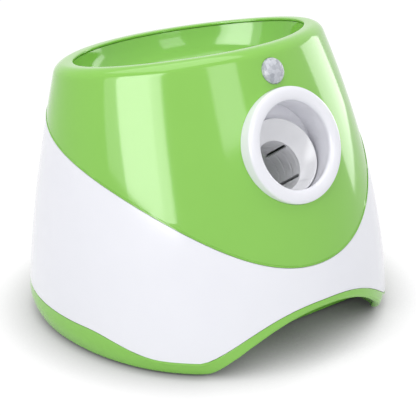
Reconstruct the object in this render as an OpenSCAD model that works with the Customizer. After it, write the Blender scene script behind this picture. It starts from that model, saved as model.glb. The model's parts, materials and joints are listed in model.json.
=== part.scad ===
// Automatic ball launcher for dogs: a tapered floor-standing body with a ball bowl on top,
// an inclined spring plunger behind the round nozzle, its geared motor and its batteries.
// Millimetres. X is across, -Y is the nozzle side, +Z is up. Origin: floor, middle of the box.

/* [Body] */
// Half width of the body at the floor
side_base = 158.6; // [150:0.1:168]
// Half width of the body at the taper height
side_top = 126.7; // [121:0.5:132]
// How far the sides bow out of a straight taper
side_bow = 10.5; // [7:0.1:14]
// Reach of the nose in front of the origin at the floor
front_base = 155.1; // [152:0.1:160]
// Reach of the nose in front of the origin at the taper height
front_top = 77.8; // [73:0.1:82]
// How far the nose bows out of a straight taper
front_bow = 15.1; // [12:0.1:18]
// Reach of the back behind the origin at the floor
rear_base = 150.9; // [148:0.1:155]
// Reach of the back behind the origin at the taper height
rear_top = 126.3; // [123:0.1:131]
// How far the back bows out of a straight taper
rear_bow = 3.6; // [2:0.1:6]
// Height at which the top sizes above hold
taper_h = 240; // [220:1:260]
// Wall thickness of the shells
wall = 2.6; // [2:0.1:3.2]
// Width of the open seam between two shells
seam_gap = 0.4; // [0.3:0.05:0.6]

/* [Rim and bowl] */
// Height of the rim above the nozzle
rim_front_z = 253; // [248:0.2:257]
// Height of the rim at the back
rim_rear_z = 216.4; // [211:0.1:221]
// Width of the rim's top
rim_w = 15.5; // [13:0.5:18]
// Radius of the rim's outer edge
rim_r = 8; // [5:0.5:10]
// Height of the hole in the bowl's floor
throat_z = 171; // [169:0.5:176]
// Place of the hole in front of or behind the origin
throat_y = -20; // [-24:1:-16]
// Radius of the hole in the bowl's floor
throat_r = 24; // [23:0.5:26]

/* [Colour split] */
// Height of the split line 128 mm in front of the origin
split_z = 96.7; // [88:0.2:104]
// Slope of the split line there, over 250 mm
split_rise = 200.7; // [190:0.2:210]
// How much the split line flattens over 250 mm
split_sag = 152.0; // [142:0.2:162]
// How much it lifts again
split_lift = 50.5; // [44:0.1:58]
// Least height of the upper shell below the rim
split_under_rim = 18; // [16:0.5:24]

/* [Base] */
// Height of the base's top edge along the sides
seam_side_z = 28.8; // [24:0.5:32]
// Height of the base's top edge at the front corners
seam_low_z = 15.5; // [13:0.5:18]
// Height of the base's top edge over the arch
seam_arch_z = 53.5; // [51:0.5:56]
// Height of the arch between the front feet
arch_h = 46.7; // [40:0.5:47]
// Half width of the arch at the floor
arch_half_w = 100; // [92:1:104]
// Depth of the arch from the body's front
arch_depth = 64; // [50:1:66]
// How far the base draws in at the floor
base_tuck = 7.7; // [5:0.1:9]
// Thickness of the base's floor
floor_t = 3; // [2.6:0.1:3.4]
// Height of the floor pads under the base
pad_stand = 1; // [0.8:0.1:1.5]
// Radius of each floor pad
pad_r = 9; // [7:0.5:11]

/* [Nozzle] */
// Height of the ring's middle
ring_z = 178.1; // [174:0.1:182]
// Tilt of the ring off upright
ring_tilt = 22.7; // [20:0.1:25]
// Outer radius of the ring
ring_r = 48.7; // [47.5:0.1:49.5]
// Radius of the ring's opening
ring_open_r = 37; // [36.4:0.1:38]
// How far the ring's middle stands out of the shell
ring_proud = 1.5; // [1:0.1:3]
// Half width of the nozzle cup's mouth
cup_r = 34.3; // [33:0.1:35]
// Depth of the nozzle cup along the launch axis
cup_depth = 9; // [8:0.1:9.5]
// Rise of the cup's mouth off the launch axis
cup_rise = 5.4; // [5:0.1:6]

/* [Launcher] */
// Diameter of the ball
ball_d = 40; // [38:0.5:41]
// Tilt of the launch axis off level
launch_tilt = 35; // [34:0.2:36]
// Height of the launch tube's mouth
mouth_z = 154.1; // [152:0.1:156]
// Place of the launch tube's mouth behind the ring
mouth_back = 19.4; // [18:0.1:21]
// Bore radius of the launch tube
tube_r = 22; // [21.6:0.1:22.2]
// Wall of the launch tube
tube_wall = 2.4; // [2:0.1:2.6]
// Length of the launch tube
tube_len = 165; // [162:1:168]
// Distance of the ball's seat from the tube's mouth
seat_s = 48.5; // [46:0.5:50]
// Travel of the plunger
stroke = 50; // [44:1:50]
// Length of the plunger's head
head_len = 14; // [12:0.5:16]
// Width of the guide slots in the tube
slot_w = 3.2; // [2.8:0.1:3.6]
// Running gap of a key in its slot, each side
slot_gap = 0.35; // [0.3:0.05:0.5]

/* [Gearbox] */
// Module of the rack and the sector gear
rack_mod = 1.5; // [1.5]
// Teeth of a whole sector gear
sector_z = 32; // [32]
// Teeth that the sector gear keeps
sector_kept = 14; // [13:1:15]
// Module of the final gear and its pinion
final_mod = 1; // [1]
// Teeth of the final gear
final_z = 50; // [50]
// Module of the first two stages
fast_mod = 0.8; // [0.8]
// Teeth of the middle gear
middle_z = 48; // [48]
// Teeth of the first gear
first_z = 40; // [40]
// Teeth of each pinion
pinion_z = 12; // [12]
// Distance of the rack's pitch line from the launch axis
rack_drop = 32; // [31.5:0.1:32.5]
// Distance of the sector shaft from the tube's mouth
sector_s = 96; // [94:0.5:98]
// Half of the space between the gearbox plates
plate_x = 16; // [15.5:0.1:17]
// Thickness of the gearbox plates
plate_t = 2.5; // [2:0.1:3]
// Radius of the motor
motor_r = 14; // [13:0.5:15]
// Length of the motor
motor_len = 38; // [34:1:42]
// Radius of the sector shaft
sector_shaft_r = 3; // [2.5:0.1:3.2]
// Radius of the two fixed gear pins
pin_r = 1.5; // [1.2:0.1:1.6]
// Running gap of a gear on its pin
run_gap = 0.05; // [0.02:0.01:0.08]

/* [Batteries] */
// Diameter of a cell
cell_d = 26.2; // [25.5:0.1:26.5]
// Length of a cell
cell_len = 50; // [48:0.5:51]
// Rows of two cells
cell_rows = 2; // [2]
// Place of the battery box's front wall
bay_y = 62; // [60:0.5:64]
// Wall of the battery box
bay_wall = 2; // [1.6:0.1:2.2]
// Room for the contacts at each end of a row
contact_room = 6; // [5:0.5:7]

/* [Controls] */
// Height of the control panel's middle
panel_z = 78; // [74:0.5:84]
// Width of the control panel
panel_w = 60; // [56:1:64]
// Height of the control panel
panel_h = 46; // [44:1:50]
// Radius of a button
button_r = 6; // [5:0.5:6.5]
// Travel of a button
button_travel = 1.2; // [0.8:0.1:1.5]
// Spacing of the two buttons
button_pitch = 28; // [24:1:32]
// Radius of the motion sensor's lens
lens_r = 11; // [10:0.1:11.5]
// Height of the lens's middle
lens_z = 234.5; // [232:0.5:236]

/* [Hidden] */

green = "#86c24f";
white = "#f1f1f4";
columns = 48;
round_fn = 64;
settle_steps = 8;

// Section of the body at a height
function mix(a, b, t) = a + (b - a) * t;
function bowed(z, low, high, bow, lean) =
  let (t = z / taper_h) mix(low, high, t) + 4 * t * (1 - t) * (bow + lean * (1 - 2 * t));
function side_x(z) = bowed(z, side_base, side_top, side_bow, -1.2);
function front_y(z) = -bowed(z, front_base, front_top, front_bow, 4.6);
function rear_y(z) = bowed(z, rear_base, rear_top, rear_bow, 4.4);
function nose(z) = mix(0.0133, -0.0003, z / 210);
function squareness(z) = mix(-0.0166, 0.0148, z / 210);

// Point of the skin at an angle from the nose and a height, drawn in by an inset
function skin(a, z, inset = 0) =
  let (sq = squareness(z), ns = nose(z))
  let (half_l = (rear_y(z) - front_y(z)) / 2 / (1 + sq), half_w = side_x(z) / (1 + sq))
  let (mid_y = rear_y(z) - half_l * (1 - ns + sq), swell = 1 + ns * cos(3 * a) + sq * cos(4 * a))
  [(half_w - inset) * swell * sin(a), mid_y - (half_l - inset) * swell * cos(a), z];

// Heights that depend on the place: the rim's plane and the split line
rim_slope = (rim_rear_z - rim_front_z) / (rear_y(rim_rear_z) - front_y(rim_front_z));
function rim_z(y) = rim_front_z + rim_slope * (y - front_y(rim_front_z));
function soft_min(a, b, k) = (a + b - sqrt((a - b) * (a - b) + k * k)) / 2;
function rising(q) = split_z + split_rise * q - split_sag * q * q + split_lift * q * q * q;
function split_line(y) = soft_min(rising((y + 128) / 250), rim_z(y) - split_under_rim, 12);
function on_rim(a, inset, drop, z = 230, n = settle_steps) =
  n == 0 ? z : on_rim(a, inset, drop, rim_z(skin(a, z, inset)[1]) - drop, n - 1);
function on_split(a, z = 140, n = settle_steps) = n == 0 ? z : on_split(a, split_line(skin(a, z)[1]), n - 1);
function smooth(t) = let (c = min(1, max(0, t))) c * c * (3 - 2 * c);
function seam_z(a) =
  let (t = a > 180 ? 360 - a : a, s = min(1, t / 41))
  seam_low_z + (seam_arch_z - seam_low_z) * pow(1 - pow(s, 2.4), 1.5)
  + (seam_side_z - seam_low_z) * smooth((t - 52) / 28);

// A closed surface through one profile for each column
module wrap(profiles) {
  n = len(profiles);
  m = len(profiles[0]);
  polyhedron(points = [for (p = profiles) for (q = p) q],
    faces = [for (i = [0 : n - 1]) for (j = [0 : m - 1])
      let (a = i * m + j, b = ((i + 1) % n) * m + j, c = ((i + 1) % n) * m + (j + 1) % m, d = i * m + (j + 1) % m)
      each [[a, c, b], [a, d, c]]]);
}

// A filled stack of level rings
module stack(rings) {
  n = len(rings);
  m = len(rings[0]);
  polyhedron(points = [for (r = rings) for (q = r) q],
    faces = concat([[for (j = [0 : m - 1]) j]], [[for (j = [m - 1 : -1 : 0]) (n - 1) * m + j]],
      [for (i = [0 : n - 2]) for (j = [0 : m - 1])
        let (a = i * m + j, b = i * m + (j + 1) % m, c = (i + 1) * m + (j + 1) % m, d = (i + 1) * m + j)
        each [[a, c, b], [a, d, c]]]));
}

// Ring of the skin at one height
function ring_at(z, inset) = [for (i = [0 : columns - 1]) skin(i * 360 / columns, z, inset)];

module body_fill(low, high, inset, steps = 4) {
  stack([for (k = [0 : steps]) ring_at(mix(low, high, k / steps), inset)]);
}

// Frames of the nozzle ring, the launch axis and the lens: +Z points out of the nozzle, +Y is up
ring_y = front_y(ring_z) - ring_proud;
launch_at = [0, ring_y + mouth_back, mouth_z];
lens_tilt = atan2(front_y(lens_z + 5) - front_y(lens_z - 5), 10);

module ring_frame() {
  translate([0, ring_y, ring_z]) rotate([90 - ring_tilt, 0, 0]) children();
}

module launch_frame() {
  translate(launch_at) rotate([90 - launch_tilt, 0, 0]) children();
}

module lens_frame() {
  translate([0, front_y(lens_z), lens_z]) rotate([90 - lens_tilt, 0, 0]) children();
}

module behind(s) {
  translate([0, 0, -s]) children();
}

// Upper shell
ring_hole_r = ring_r + 0.3;

function upper_profile(a) =
  let (low = on_split(a) + seam_gap / 2, top = on_rim(a, 0, rim_r), under = on_rim(a, wall, rim_r))
  concat(
    [for (k = [0 : 5]) skin(a, mix(low, top, k / 6), 0)],
    [for (t = [0 : 22.5 : 90]) let (in = rim_r * (1 - cos(t))) skin(a, on_rim(a, in, rim_r * (1 - sin(t))), in)],
    [skin(a, on_rim(a, rim_w, 0), rim_w)],
    [skin(a, on_rim(a, rim_w, wall), rim_w)],
    [skin(a, on_rim(a, rim_r, wall), rim_r)],
    [for (k = [4 : -1 : 0]) skin(a, mix(low, under, k / 4), wall)]);

module upper_shell() {
  color(green)
    difference() {
      wrap([for (i = [0 : columns - 1]) upper_profile(i * 360 / columns)]);
      ring_frame() translate([0, 0, -30]) cylinder(r = ring_hole_r, h = 60, $fn = round_fn);
      lens_frame() translate([0, 0, -10]) cylinder(r = lens_r + 0.3, h = 20, $fn = round_fn);
    }
}

// Lower shell with its tongue and screw tabs
tongue = 4;
screw_at = [for (sx = [-1, 1]) each [[sx * 127, -56], [sx * 124, 78]]];
screw_r = 1.5;
post_r = 4.5;
tab_z = 34;
tab_t = 3;

function lower_profile(a) =
  let (low = seam_z(a) + seam_gap / 2, high = on_split(a) - seam_gap / 2, inner = wall + 0.3)
  concat(
    [for (k = [0 : 6]) skin(a, mix(low, high, k / 6), 0)],
    [skin(a, high, inner), skin(a, high + tongue, inner), skin(a, high + tongue, inner + 1.6)],
    [skin(a, high - tongue, inner + 1.6)],
    [for (k = [4 : -1 : 0]) skin(a, mix(low, high - 2 * tongue, k / 4), wall)]);

module screw_tabs() {
  intersection() {
    body_fill(tab_z - 1, tab_z + tab_t + 1, wall / 2, 2);
    for (p = screw_at)
      translate([p[0] + sign(p[0]) * 15, p[1], tab_z + tab_t / 2]) cube([42, 14, tab_t], center = true);
  }
}

module panel_outline(grow) {
  square([panel_w + 2 * grow, panel_h + 2 * grow], center = true);
}

module panel_frame() {
  translate([0, panel_face, panel_z]) rotate([90, 0, 180]) children();
}

panel_face = rear_y(panel_z) + 0.8;

module lower_shell() {
  color(white)
    difference() {
      union() {
        wrap([for (i = [0 : columns - 1]) lower_profile(i * 360 / columns)]);
        screw_tabs();
      }
      panel_frame() translate([0, 0, -20]) linear_extrude(30) panel_outline(0.3);
      for (p = screw_at)
        translate([p[0], p[1], tab_z - 5]) cylinder(r = screw_r, h = 20, $fn = 24);
    }
}

// Base
floor_z = pad_stand + floor_t;
bay_pitch = cell_d + 0.8;
bay_in_w = 2 * cell_len + 2 * contact_room;
bay_in_l = cell_rows * bay_pitch;
bay_out_w = bay_in_w + 2 * bay_wall;
bay_out_l = bay_in_l + 2 * bay_wall;
bay_mid = bay_y + bay_out_l / 2;
pad_at = [for (sx = [-1, 1]) each [[sx * 116, -68], [sx * 108, 84]]];
pad_sunk = 1.4;
arch_points = 24;
arch_wall = 2.8;
arch_back = front_y(0) + arch_depth;

function arch_z(x, h, w) = h * (1 - pow(min(1, abs(x) / w), 2.2));

module arch_block(grow) {
  h = arch_h + grow;
  w = arch_half_w + grow;
  translate([0, arch_back + grow, 0]) rotate([90, 0, 0]) linear_extrude(arch_depth + 40)
    polygon(concat([[w, -20], [w, 0]],
      [for (k = [1 : arch_points - 1]) let (x = w * cos(180 * k / arch_points)) [x, arch_z(x, h, w)]],
      [[-w, 0], [-w, -20]]));
}

function base_tuck_at(z) = base_tuck * pow(max(0, 1 - (z - pad_stand) / 22), 2);

function base_profile(a, inset, low, high) =
  [for (k = [0 : 6]) let (z = mix(low, high, pow(k / 6, 1.4))) skin(a, z, inset + base_tuck_at(z))];

module base_skirt() {
  wrap([for (i = [0 : columns - 1])
    let (a = i * 360 / columns, top = seam_z(a) - seam_gap / 2, in = wall + 0.3)
    concat(base_profile(a, 0, pad_stand, top),
      [skin(a, top, in), skin(a, top + tongue, in), skin(a, top + tongue, in + 1.6), skin(a, top - 2, in + 1.6)],
      [skin(a, top - 4, wall + base_tuck_at(top - 4)), skin(a, pad_stand, wall + base_tuck)])]);
}

module base_floor() {
  difference() {
    stack([for (z = [pad_stand, floor_z]) ring_at(z, base_tuck_at(z) + wall / 2)]);
    translate([-bay_out_w / 2 + bay_wall, bay_y + bay_wall, 0]) cube([bay_in_w, bay_in_l, 10]);
    translate([-door_half_w, door_in_y, -1]) cube([2 * door_half_w, door_out_y - door_in_y, pad_stand + 1 + door_t]);
    at_yz(hinge_at) {
      rod(-door_half_w, door_half_w, hinge_r + 0.3, 32);
      rod(-door_half_w - hinge_pin_l, door_half_w + hinge_pin_l, hinge_pin_r + run_gap, 32);
    }
    for (p = gearbox_feet)
      translate([p[0], p[1], 0]) cylinder(r = screw_r, h = 20, $fn = 24);
    for (p = pad_at)
      translate([p[0], p[1], 0]) cylinder(r = pad_r + 0.1, h = pad_stand + pad_sunk, $fn = round_fn);
  }
}

module base_posts() {
  for (p = screw_at)
    translate([p[0], p[1], pad_stand + 0.5]) cylinder(r = post_r, h = tab_z - pad_stand - 0.5, $fn = 32);
}

module base_vault() {
  intersection() {
    body_fill(pad_stand, arch_h + arch_wall + 2, wall / 2, 3);
    arch_block(arch_wall);
  }
}

module base() {
  color(green)
    difference() {
      union() {
        base_skirt();
        base_floor();
        base_posts();
        base_vault();
      }
      arch_block(0);
      for (p = screw_at) {
        translate([p[0], p[1], -1]) cylinder(r = screw_r + 0.2, h = tab_z + 5, $fn = 24);
        translate([p[0], p[1], -1]) cylinder(r = screw_head_r + 0.3, h = tab_z - 12, $fn = 32);
      }
    }
}

// Screws that hold the base to the lower shell
screw_head_r = 2.8;

module shell_screws() {
  color("silver")
    for (p = screw_at)
      translate([p[0], p[1], 0]) {
        translate([0, 0, tab_z - 13 - 2]) cylinder(r = screw_head_r, h = 2, $fn = 32);
        translate([0, 0, tab_z - 13 - 0.1]) cylinder(r = screw_r - 0.05, h = 16, $fn = 24);
      }
}

module floor_pads() {
  color("#3a3a3c")
    for (p = pad_at)
      translate([p[0], p[1], 0]) cylinder(r = pad_r, h = pad_stand + pad_sunk, $fn = round_fn);
}

// Bowl
bowl_steps = [[0.03, 0.2], [0.08, 0.4], [0.16, 0.58], [0.3, 0.74], [0.5, 0.86], [0.75, 0.95], [1, 1]];
bowl_wall = 2.2;
flange_in = 4;

function bowl_point(a, h, g, grow) =
  let (lip = skin(a, on_rim(a, rim_w, wall + 0.3), rim_w))
  let (end = [throat_r * sin(a), throat_y - throat_r * cos(a), throat_z])
  [mix(lip[0], end[0], h) + grow * sin(a), mix(lip[1], end[1], h) - grow * cos(a), mix(lip[2], end[2], g) - grow];

function bowl_profile(a) =
  concat([skin(a, on_rim(a, rim_w - flange_in, wall + 0.3), rim_w - flange_in)],
    [bowl_point(a, 0, 0, 0)], [for (s = bowl_steps) bowl_point(a, s[0], s[1], 0)],
    [for (k = [len(bowl_steps) - 1 : -1 : 0]) bowl_point(a, bowl_steps[k][0], bowl_steps[k][1], bowl_wall)],
    [skin(a, on_rim(a, rim_w - bowl_wall, wall + 2.5), rim_w - bowl_wall)],
    [skin(a, on_rim(a, rim_w - flange_in, wall + 2.5), rim_w - flange_in)]);

module hopper_bowl() {
  color(green) wrap([for (i = [0 : columns - 1]) bowl_profile(i * 360 / columns)]);
}

// Chute from the bowl to the launch tube
chute_r = tube_r + 0.6;
chute_wall = 2;
chute_top = throat_z - bowl_wall - 0.3;
seat_at = [0, launch_at[1] + seat_s * cos(launch_tilt), launch_at[2] - seat_s * sin(launch_tilt)];
chute_run = [throat_y - seat_at[1], chute_top - seat_at[2]];
chute_lean = atan2(chute_run[0], chute_run[1]);
chute_len = norm(chute_run);

module chute_frame() {
  translate(seat_at) rotate([-chute_lean, 0, 0]) children();
}

module ball_chute() {
  color(white)
    difference() {
      union() {
        chute_frame() cylinder(r = chute_r + chute_wall, h = chute_len + 20, $fn = round_fn);
        translate([0, throat_y, chute_top - 2]) cylinder(r = throat_r + 6, h = 2, $fn = round_fn);
      }
      chute_frame() translate([0, 0, -1]) cylinder(r = chute_r, h = chute_len + 30, $fn = round_fn);
      translate([0, throat_y, chute_top - 2.5]) cylinder(r = throat_r - 0.5, h = 4, $fn = round_fn);
      translate([-60, throat_y - 70, chute_top]) cube([120, 140, 60]);
      launch_frame() behind(tube_len) cylinder(r = tube_out + 0.3, h = tube_len + 20, $fn = round_fn);
    }
}

// Ring round the nozzle, with its flared tube
ring_t = 3.6;
ring_back = 13;
ring_tube_l = 28;
ring_lip = 2;
ring_tube_t = 1.6;
tube_steps = [[ring_tube_l, 3.9, -3.2], [10, 2.4, -1.6], [ring_lip, 0.5, 0]];

function tube_circle(k, grow, dz) =
  let (r = ring_open_r + tube_steps[k][1] + grow)
  [for (i = [0 : round_fn - 1]) let (t = i * 360 / round_fn)
    [r * sin(t), tube_steps[k][2] - r * cos(t), dz - tube_steps[k][0]]];

module ring_tube(grow, over) {
  stack([tube_circle(0, grow, -over), tube_circle(1, grow, 0), tube_circle(2, grow, over)]);
}

module nozzle_ring() {
  half = (ring_r - ring_open_r) / 2;
  color(white)
    ring_frame() {
      rotate_extrude($fn = 96)
        polygon(concat([[ring_open_r, -ring_lip - 1], [ring_r - 2, -ring_lip - 1], [ring_r - 2, -ring_back],
          [ring_r, -ring_back]],
          [for (t = [0 : 18 : 180]) [ring_r - half + half * cos(t), ring_t * sin(t)]]));
      difference() {
        ring_tube(ring_tube_t, 0);
        ring_tube(0, 0.2);
      }
    }
}

// Launch tube with its cup, guide slots, ball opening and side rails
tube_out = tube_r + tube_wall;
slot_angles = [42, -34];
slot_end = seat_s + ball_d / 2 + head_len + stroke + 8;
cup_wall = 1.6;
cup_flat = 0.935;
hole_r = ball_d / 2 + 2;
rail_t = 2.5;
rail_low = rack_drop + 4;
rail_s = [60, 148];
screw_s = [66, 142];
rail_screw_drop = rack_drop - 1;
web_w = 5.6;

module cup_solid(grow, extra) {
  hull() {
    translate([0, 0, -extra]) cylinder(r = hole_r + grow, h = 0.01, $fn = round_fn);
    translate([0, cup_rise, cup_depth - 0.01]) scale([1, cup_flat, 1])
      cylinder(r = cup_r + grow, h = 0.01 + (grow > 0 ? 0 : 0.02), $fn = round_fn);
  }
}

module slot_cut(angle, s0, s1, w, r0, r1) {
  rotate([0, 0, angle]) translate([r0, -w / 2, -s1]) cube([r1 - r0, w, s1 - s0]);
}

module launch_tube() {
  color(white)
    launch_frame()
      difference() {
        union() {
          cup_solid(cup_wall, 1.5);
          behind(tube_len) cylinder(r = tube_out, h = tube_len, $fn = round_fn);
          for (sx = [-1, 1])
            translate([sx > 0 ? plate_x - rail_t : -plate_x, -rail_low, -rail_s[1]])
              cube([rail_t, rail_low - 17, rail_s[1] - rail_s[0]]);
        }
        cup_solid(0, 0);
        behind(2) cylinder(r = hole_r, h = 4, $fn = round_fn);
        behind(tube_len + 1) cylinder(r = tube_r, h = tube_len - 0.5, $fn = round_fn);
        for (a = slot_angles)
          for (b = [a, 180 - a])
            slot_cut(b, 2.5, slot_end, slot_w, tube_r - 3, tube_out + 2);
        slot_cut(-90, rail_s[0] - 2, slot_end, web_w + 2 * slot_gap + 0.4, tube_r - 3, tube_out + 2);
        translate([0, 0, -seat_s]) rotate([-90 - chute_lean + launch_tilt, 0, 0])
          cylinder(r = chute_r, h = 60, $fn = round_fn);
        for (sx = [-1, 1])
          behind(seat_s) rotate([0, sx * 90, 0]) cylinder(r = detector_r + 0.2, h = 40, $fn = 24);
        for (s = screw_s)
          translate([-30, -rail_screw_drop, -s]) rotate([0, 90, 0]) cylinder(r = screw_r, h = 60, $fn = 24);
      }
}

// Plunger: head with four keys, its rack and the rack's web
head_s = seat_s + ball_d / 2 + 0.5;
pad_t = 2.5;
head_r = tube_r - 0.4;
rack_w = 10;
rack_pitch = PI * rack_mod;
rack_teeth = [for (k = [-12 : 1]) k];
rack_top = tube_out + 2;

function rack_tooth(s, half) =
  let (add = rack_mod, ded = 1.25 * rack_mod, q = rack_pitch / 4 - 0.08, t = tan(20))
  [[s - q - ded * t, rack_drop - ded], [s - q + add * t, rack_drop + add],
   [s + q - add * t, rack_drop + add], [s + q + ded * t, rack_drop - ded]];

module rack() {
  rotate([0, 90, 0]) translate([0, 0, -rack_w / 2]) linear_extrude(rack_w)
    polygon(concat(
      [for (p = concat(
        [[sector_s + rack_teeth[0] * rack_pitch - rack_pitch, rack_top]],
        [[sector_s + rack_teeth[0] * rack_pitch - rack_pitch, rack_drop - 1.25 * rack_mod]],
        [for (k = rack_teeth) each rack_tooth(sector_s + (k + 0.5) * rack_pitch, 0)],
        [[sector_s + 2.2 * rack_pitch, rack_drop - 1.25 * rack_mod]],
        [[sector_s + 2.2 * rack_pitch, rack_top]]))
        [p[0], -p[1]]]));
}

module plunger() {
  color("#d9d9de")
    launch_frame() {
      behind(head_s + head_len) cylinder(r = head_r, h = head_len - pad_t, $fn = round_fn);
      behind(head_s + head_len + 6) cylinder(r = 12, h = 6.5, $fn = round_fn);
      for (a = slot_angles)
        for (b = [a, 180 - a])
          slot_cut(b, head_s + pad_t, head_s + head_len, slot_w - 2 * slot_gap, head_r - 2, tube_out);
      translate([-web_w / 2, -rack_top - 1, -head_s - head_len]) cube([web_w, rack_top - 15, head_len - 3]);
      rack();
    }
}

module plunger_pad() {
  color("#2c2c2e")
    launch_frame() behind(head_s + pad_t - 0.02) cylinder(r = head_r - 2, h = pad_t, $fn = round_fn);
}

// Spring behind the plunger and the cap that it pushes against
spring_r = 17;
spring_wire = 1.1;
spring_turns = 9;
spring_steps = 14;
spring_sides = 6;
cap_t = 3;

module sweep(path, r, sides) {
  n = len(path);
  polyhedron(
    points = [for (i = [0 : n - 1])
      let (d = path[min(i + 1, n - 1)] - path[max(i - 1, 0)], u = d / norm(d))
      let (ref = abs(u[2]) > 0.9 ? [1, 0, 0] : [0, 0, 1], v = cross(u, ref) / norm(cross(u, ref)), w = cross(u, v))
      for (k = [0 : sides - 1]) path[i] + r * (cos(k * 360 / sides) * v + sin(k * 360 / sides) * w)],
    faces = concat([[for (k = [0 : sides - 1]) k]], [[for (k = [sides - 1 : -1 : 0]) (n - 1) * sides + k]],
      [for (i = [0 : n - 2]) for (k = [0 : sides - 1])
        let (a = i * sides + k, b = i * sides + (k + 1) % sides, c = b + sides, d = a + sides)
        each [[a, c, b], [a, d, c]]]));
}

module plunger_spring() {
  from = head_s + head_len + spring_wire + 0.3;
  to = tube_len - spring_wire - 0.3;
  color("silver")
    launch_frame()
      sweep([for (i = [0 : spring_turns * spring_steps]) let (a = i * 360 / spring_steps)
        [spring_r * cos(a), spring_r * sin(a), -mix(from, to, i / (spring_turns * spring_steps))]],
        spring_wire, spring_sides);
}

module spring_cap() {
  color("#3c3c40")
    launch_frame() {
      behind(tube_len + cap_t + 0.2) cylinder(r = tube_out, h = cap_t, $fn = round_fn);
      behind(tube_len + 0.3) cylinder(r = 12, h = 12, $fn = round_fn);
    }
}

// Gear teeth: flanks from the involute at three radii
pressure = 20;

function involute(a) = tan(a) * 180 / PI - a;
function tooth_half(r, base_r, pitch_half) =
  pitch_half + involute(pressure) - (r <= base_r ? 0 : involute(acos(base_r / r)));
function tooth_points(mod, z, add, mid, backlash) =
  let (pitch_r = mod * z / 2, base_r = pitch_r * cos(pressure), root_r = pitch_r - 1.25 * mod, tip_r = pitch_r + add * mod)
  let (half = 90 / z - backlash, radii = [root_r, max(base_r, root_r + 0.01), pitch_r, tip_r])
  concat([for (r = radii) let (h = tooth_half(r, base_r, half)) r * [cos(mid - h), sin(mid - h)]],
    [for (k = [3 : -1 : 0]) let (r = radii[k], h = tooth_half(r, base_r, half)) r * [cos(mid + h), sin(mid + h)]]);
function gear_outline(mod, z, add, phase, teeth) =
  [for (k = [0 : z - 1]) each
    (k < teeth ? tooth_points(mod, z, add, phase + k * 360 / z, 0.6 / mod / z * 6)
      : [(mod * z / 2 - 1.25 * mod) * [cos(phase + k * 360 / z), sin(phase + k * 360 / z)]])];

module gear(mod, z, add, phase, width, teeth = 999) {
  rotate([90, 0, 90]) linear_extrude(width) polygon(gear_outline(mod, z, add, phase, teeth));
}

module rod(x0, x1, r, fn = 48) {
  translate([x0, 0, 0]) rotate([0, 90, 0]) cylinder(r = r, h = x1 - x0, $fn = fn);
}

// Places of the gear axes in the Y-Z plane
function launch_yz(s, drop) =
  [launch_at[1] + s * cos(launch_tilt) - drop * sin(launch_tilt), launch_at[2] - s * sin(launch_tilt) - drop * cos(launch_tilt)];
function along(p, d, a) = p + d * [cos(a), sin(a)];
sector_r = rack_mod * sector_z / 2;
sector_at = launch_yz(sector_s, rack_drop + sector_r);
middle_lean = -19;
middle_at = along(sector_at, final_mod * (final_z + pinion_z) / 2, middle_lean);
first_lean = -48;
first_at = along(middle_at, fast_mod * (middle_z + pinion_z) / 2, first_lean);
motor_lean = 0;
motor_at = along(first_at, fast_mod * (first_z + pinion_z) / 2, motor_lean);
wheel_add = 0.72;
toward_rack = 90 - launch_tilt;

module at_yz(p) {
  translate([0, p[0], p[1]]) children();
}

sector_w = 8;
final_x = 6;
final_w = 5;
middle_x = -9.5;
middle_w = 4;
first_x = -1;
first_w = 4;
sleeve_r = 4;

module sector_gear() {
  color("#4a4d52")
    at_yz(sector_at)
      difference() {
        translate([-sector_w / 2, 0, 0])
          gear(rack_mod, sector_z, 1, toward_rack - 360 / sector_z, sector_w, sector_kept);
        rod(-20, 20, sector_shaft_r, round_fn);
        for (k = [0 : 5])
          rotate([60 * k, 0, 0]) translate([0, 13.5, 0]) rod(-20, 20, 4, 32);
      }
}

module final_gear() {
  color("#e4e2da")
    at_yz(sector_at)
      difference() {
        union() {
          translate([final_x, 0, 0]) gear(final_mod, final_z, wheel_add, middle_lean, final_w);
          rod(sector_w / 2 + 0.1, final_x + 0.1, 8);
          rod(final_x + final_w - 0.1, plate_x - 1, 5);
        }
        rod(-20, 20, sector_shaft_r, round_fn);
        for (k = [0 : 5])
          rotate([60 * k + 30, 0, 0]) translate([0, 15.5, 0]) rod(-20, 20, 5, 32);
      }
}

module sector_shaft() {
  color("silver")
    at_yz(sector_at) rod(-plate_x - plate_t - 1.5, plate_x + plate_t + 1.5, sector_shaft_r, round_fn);
}

module shaft_bushes() {
  color("#b08d57")
    at_yz(sector_at)
      for (sx = [-1, 1])
        difference() {
          union() {
            rod(sx > 0 ? plate_x : -plate_x - plate_t, sx > 0 ? plate_x + plate_t : -plate_x, bush_r, round_fn);
            rod(sx > 0 ? plate_x - 0.8 : -plate_x, sx > 0 ? plate_x : -plate_x + 0.8, bush_r + 1.5, round_fn);
          }
          rod(-30, 30, sector_shaft_r + run_gap, round_fn);
        }
}

bush_r = sector_shaft_r + 2;

module middle_gear() {
  color("#e4e2da")
    at_yz(middle_at)
      difference() {
        union() {
          translate([final_x - 0.5, 0, 0]) gear(final_mod, pinion_z, 1, 180 + middle_lean + 180 / pinion_z, final_w + 1);
          translate([middle_x, 0, 0]) gear(fast_mod, middle_z, wheel_add, first_lean, middle_w);
          rod(middle_x + middle_w - 0.1, final_x - 0.4, sleeve_r);
          rod(-plate_x + 0.4, middle_x + 0.1, sleeve_r);
          rod(final_x + final_w + 0.4, plate_x - 0.4, sleeve_r);
        }
        rod(-30, 30, pin_r + run_gap, round_fn);
      }
}

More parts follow.
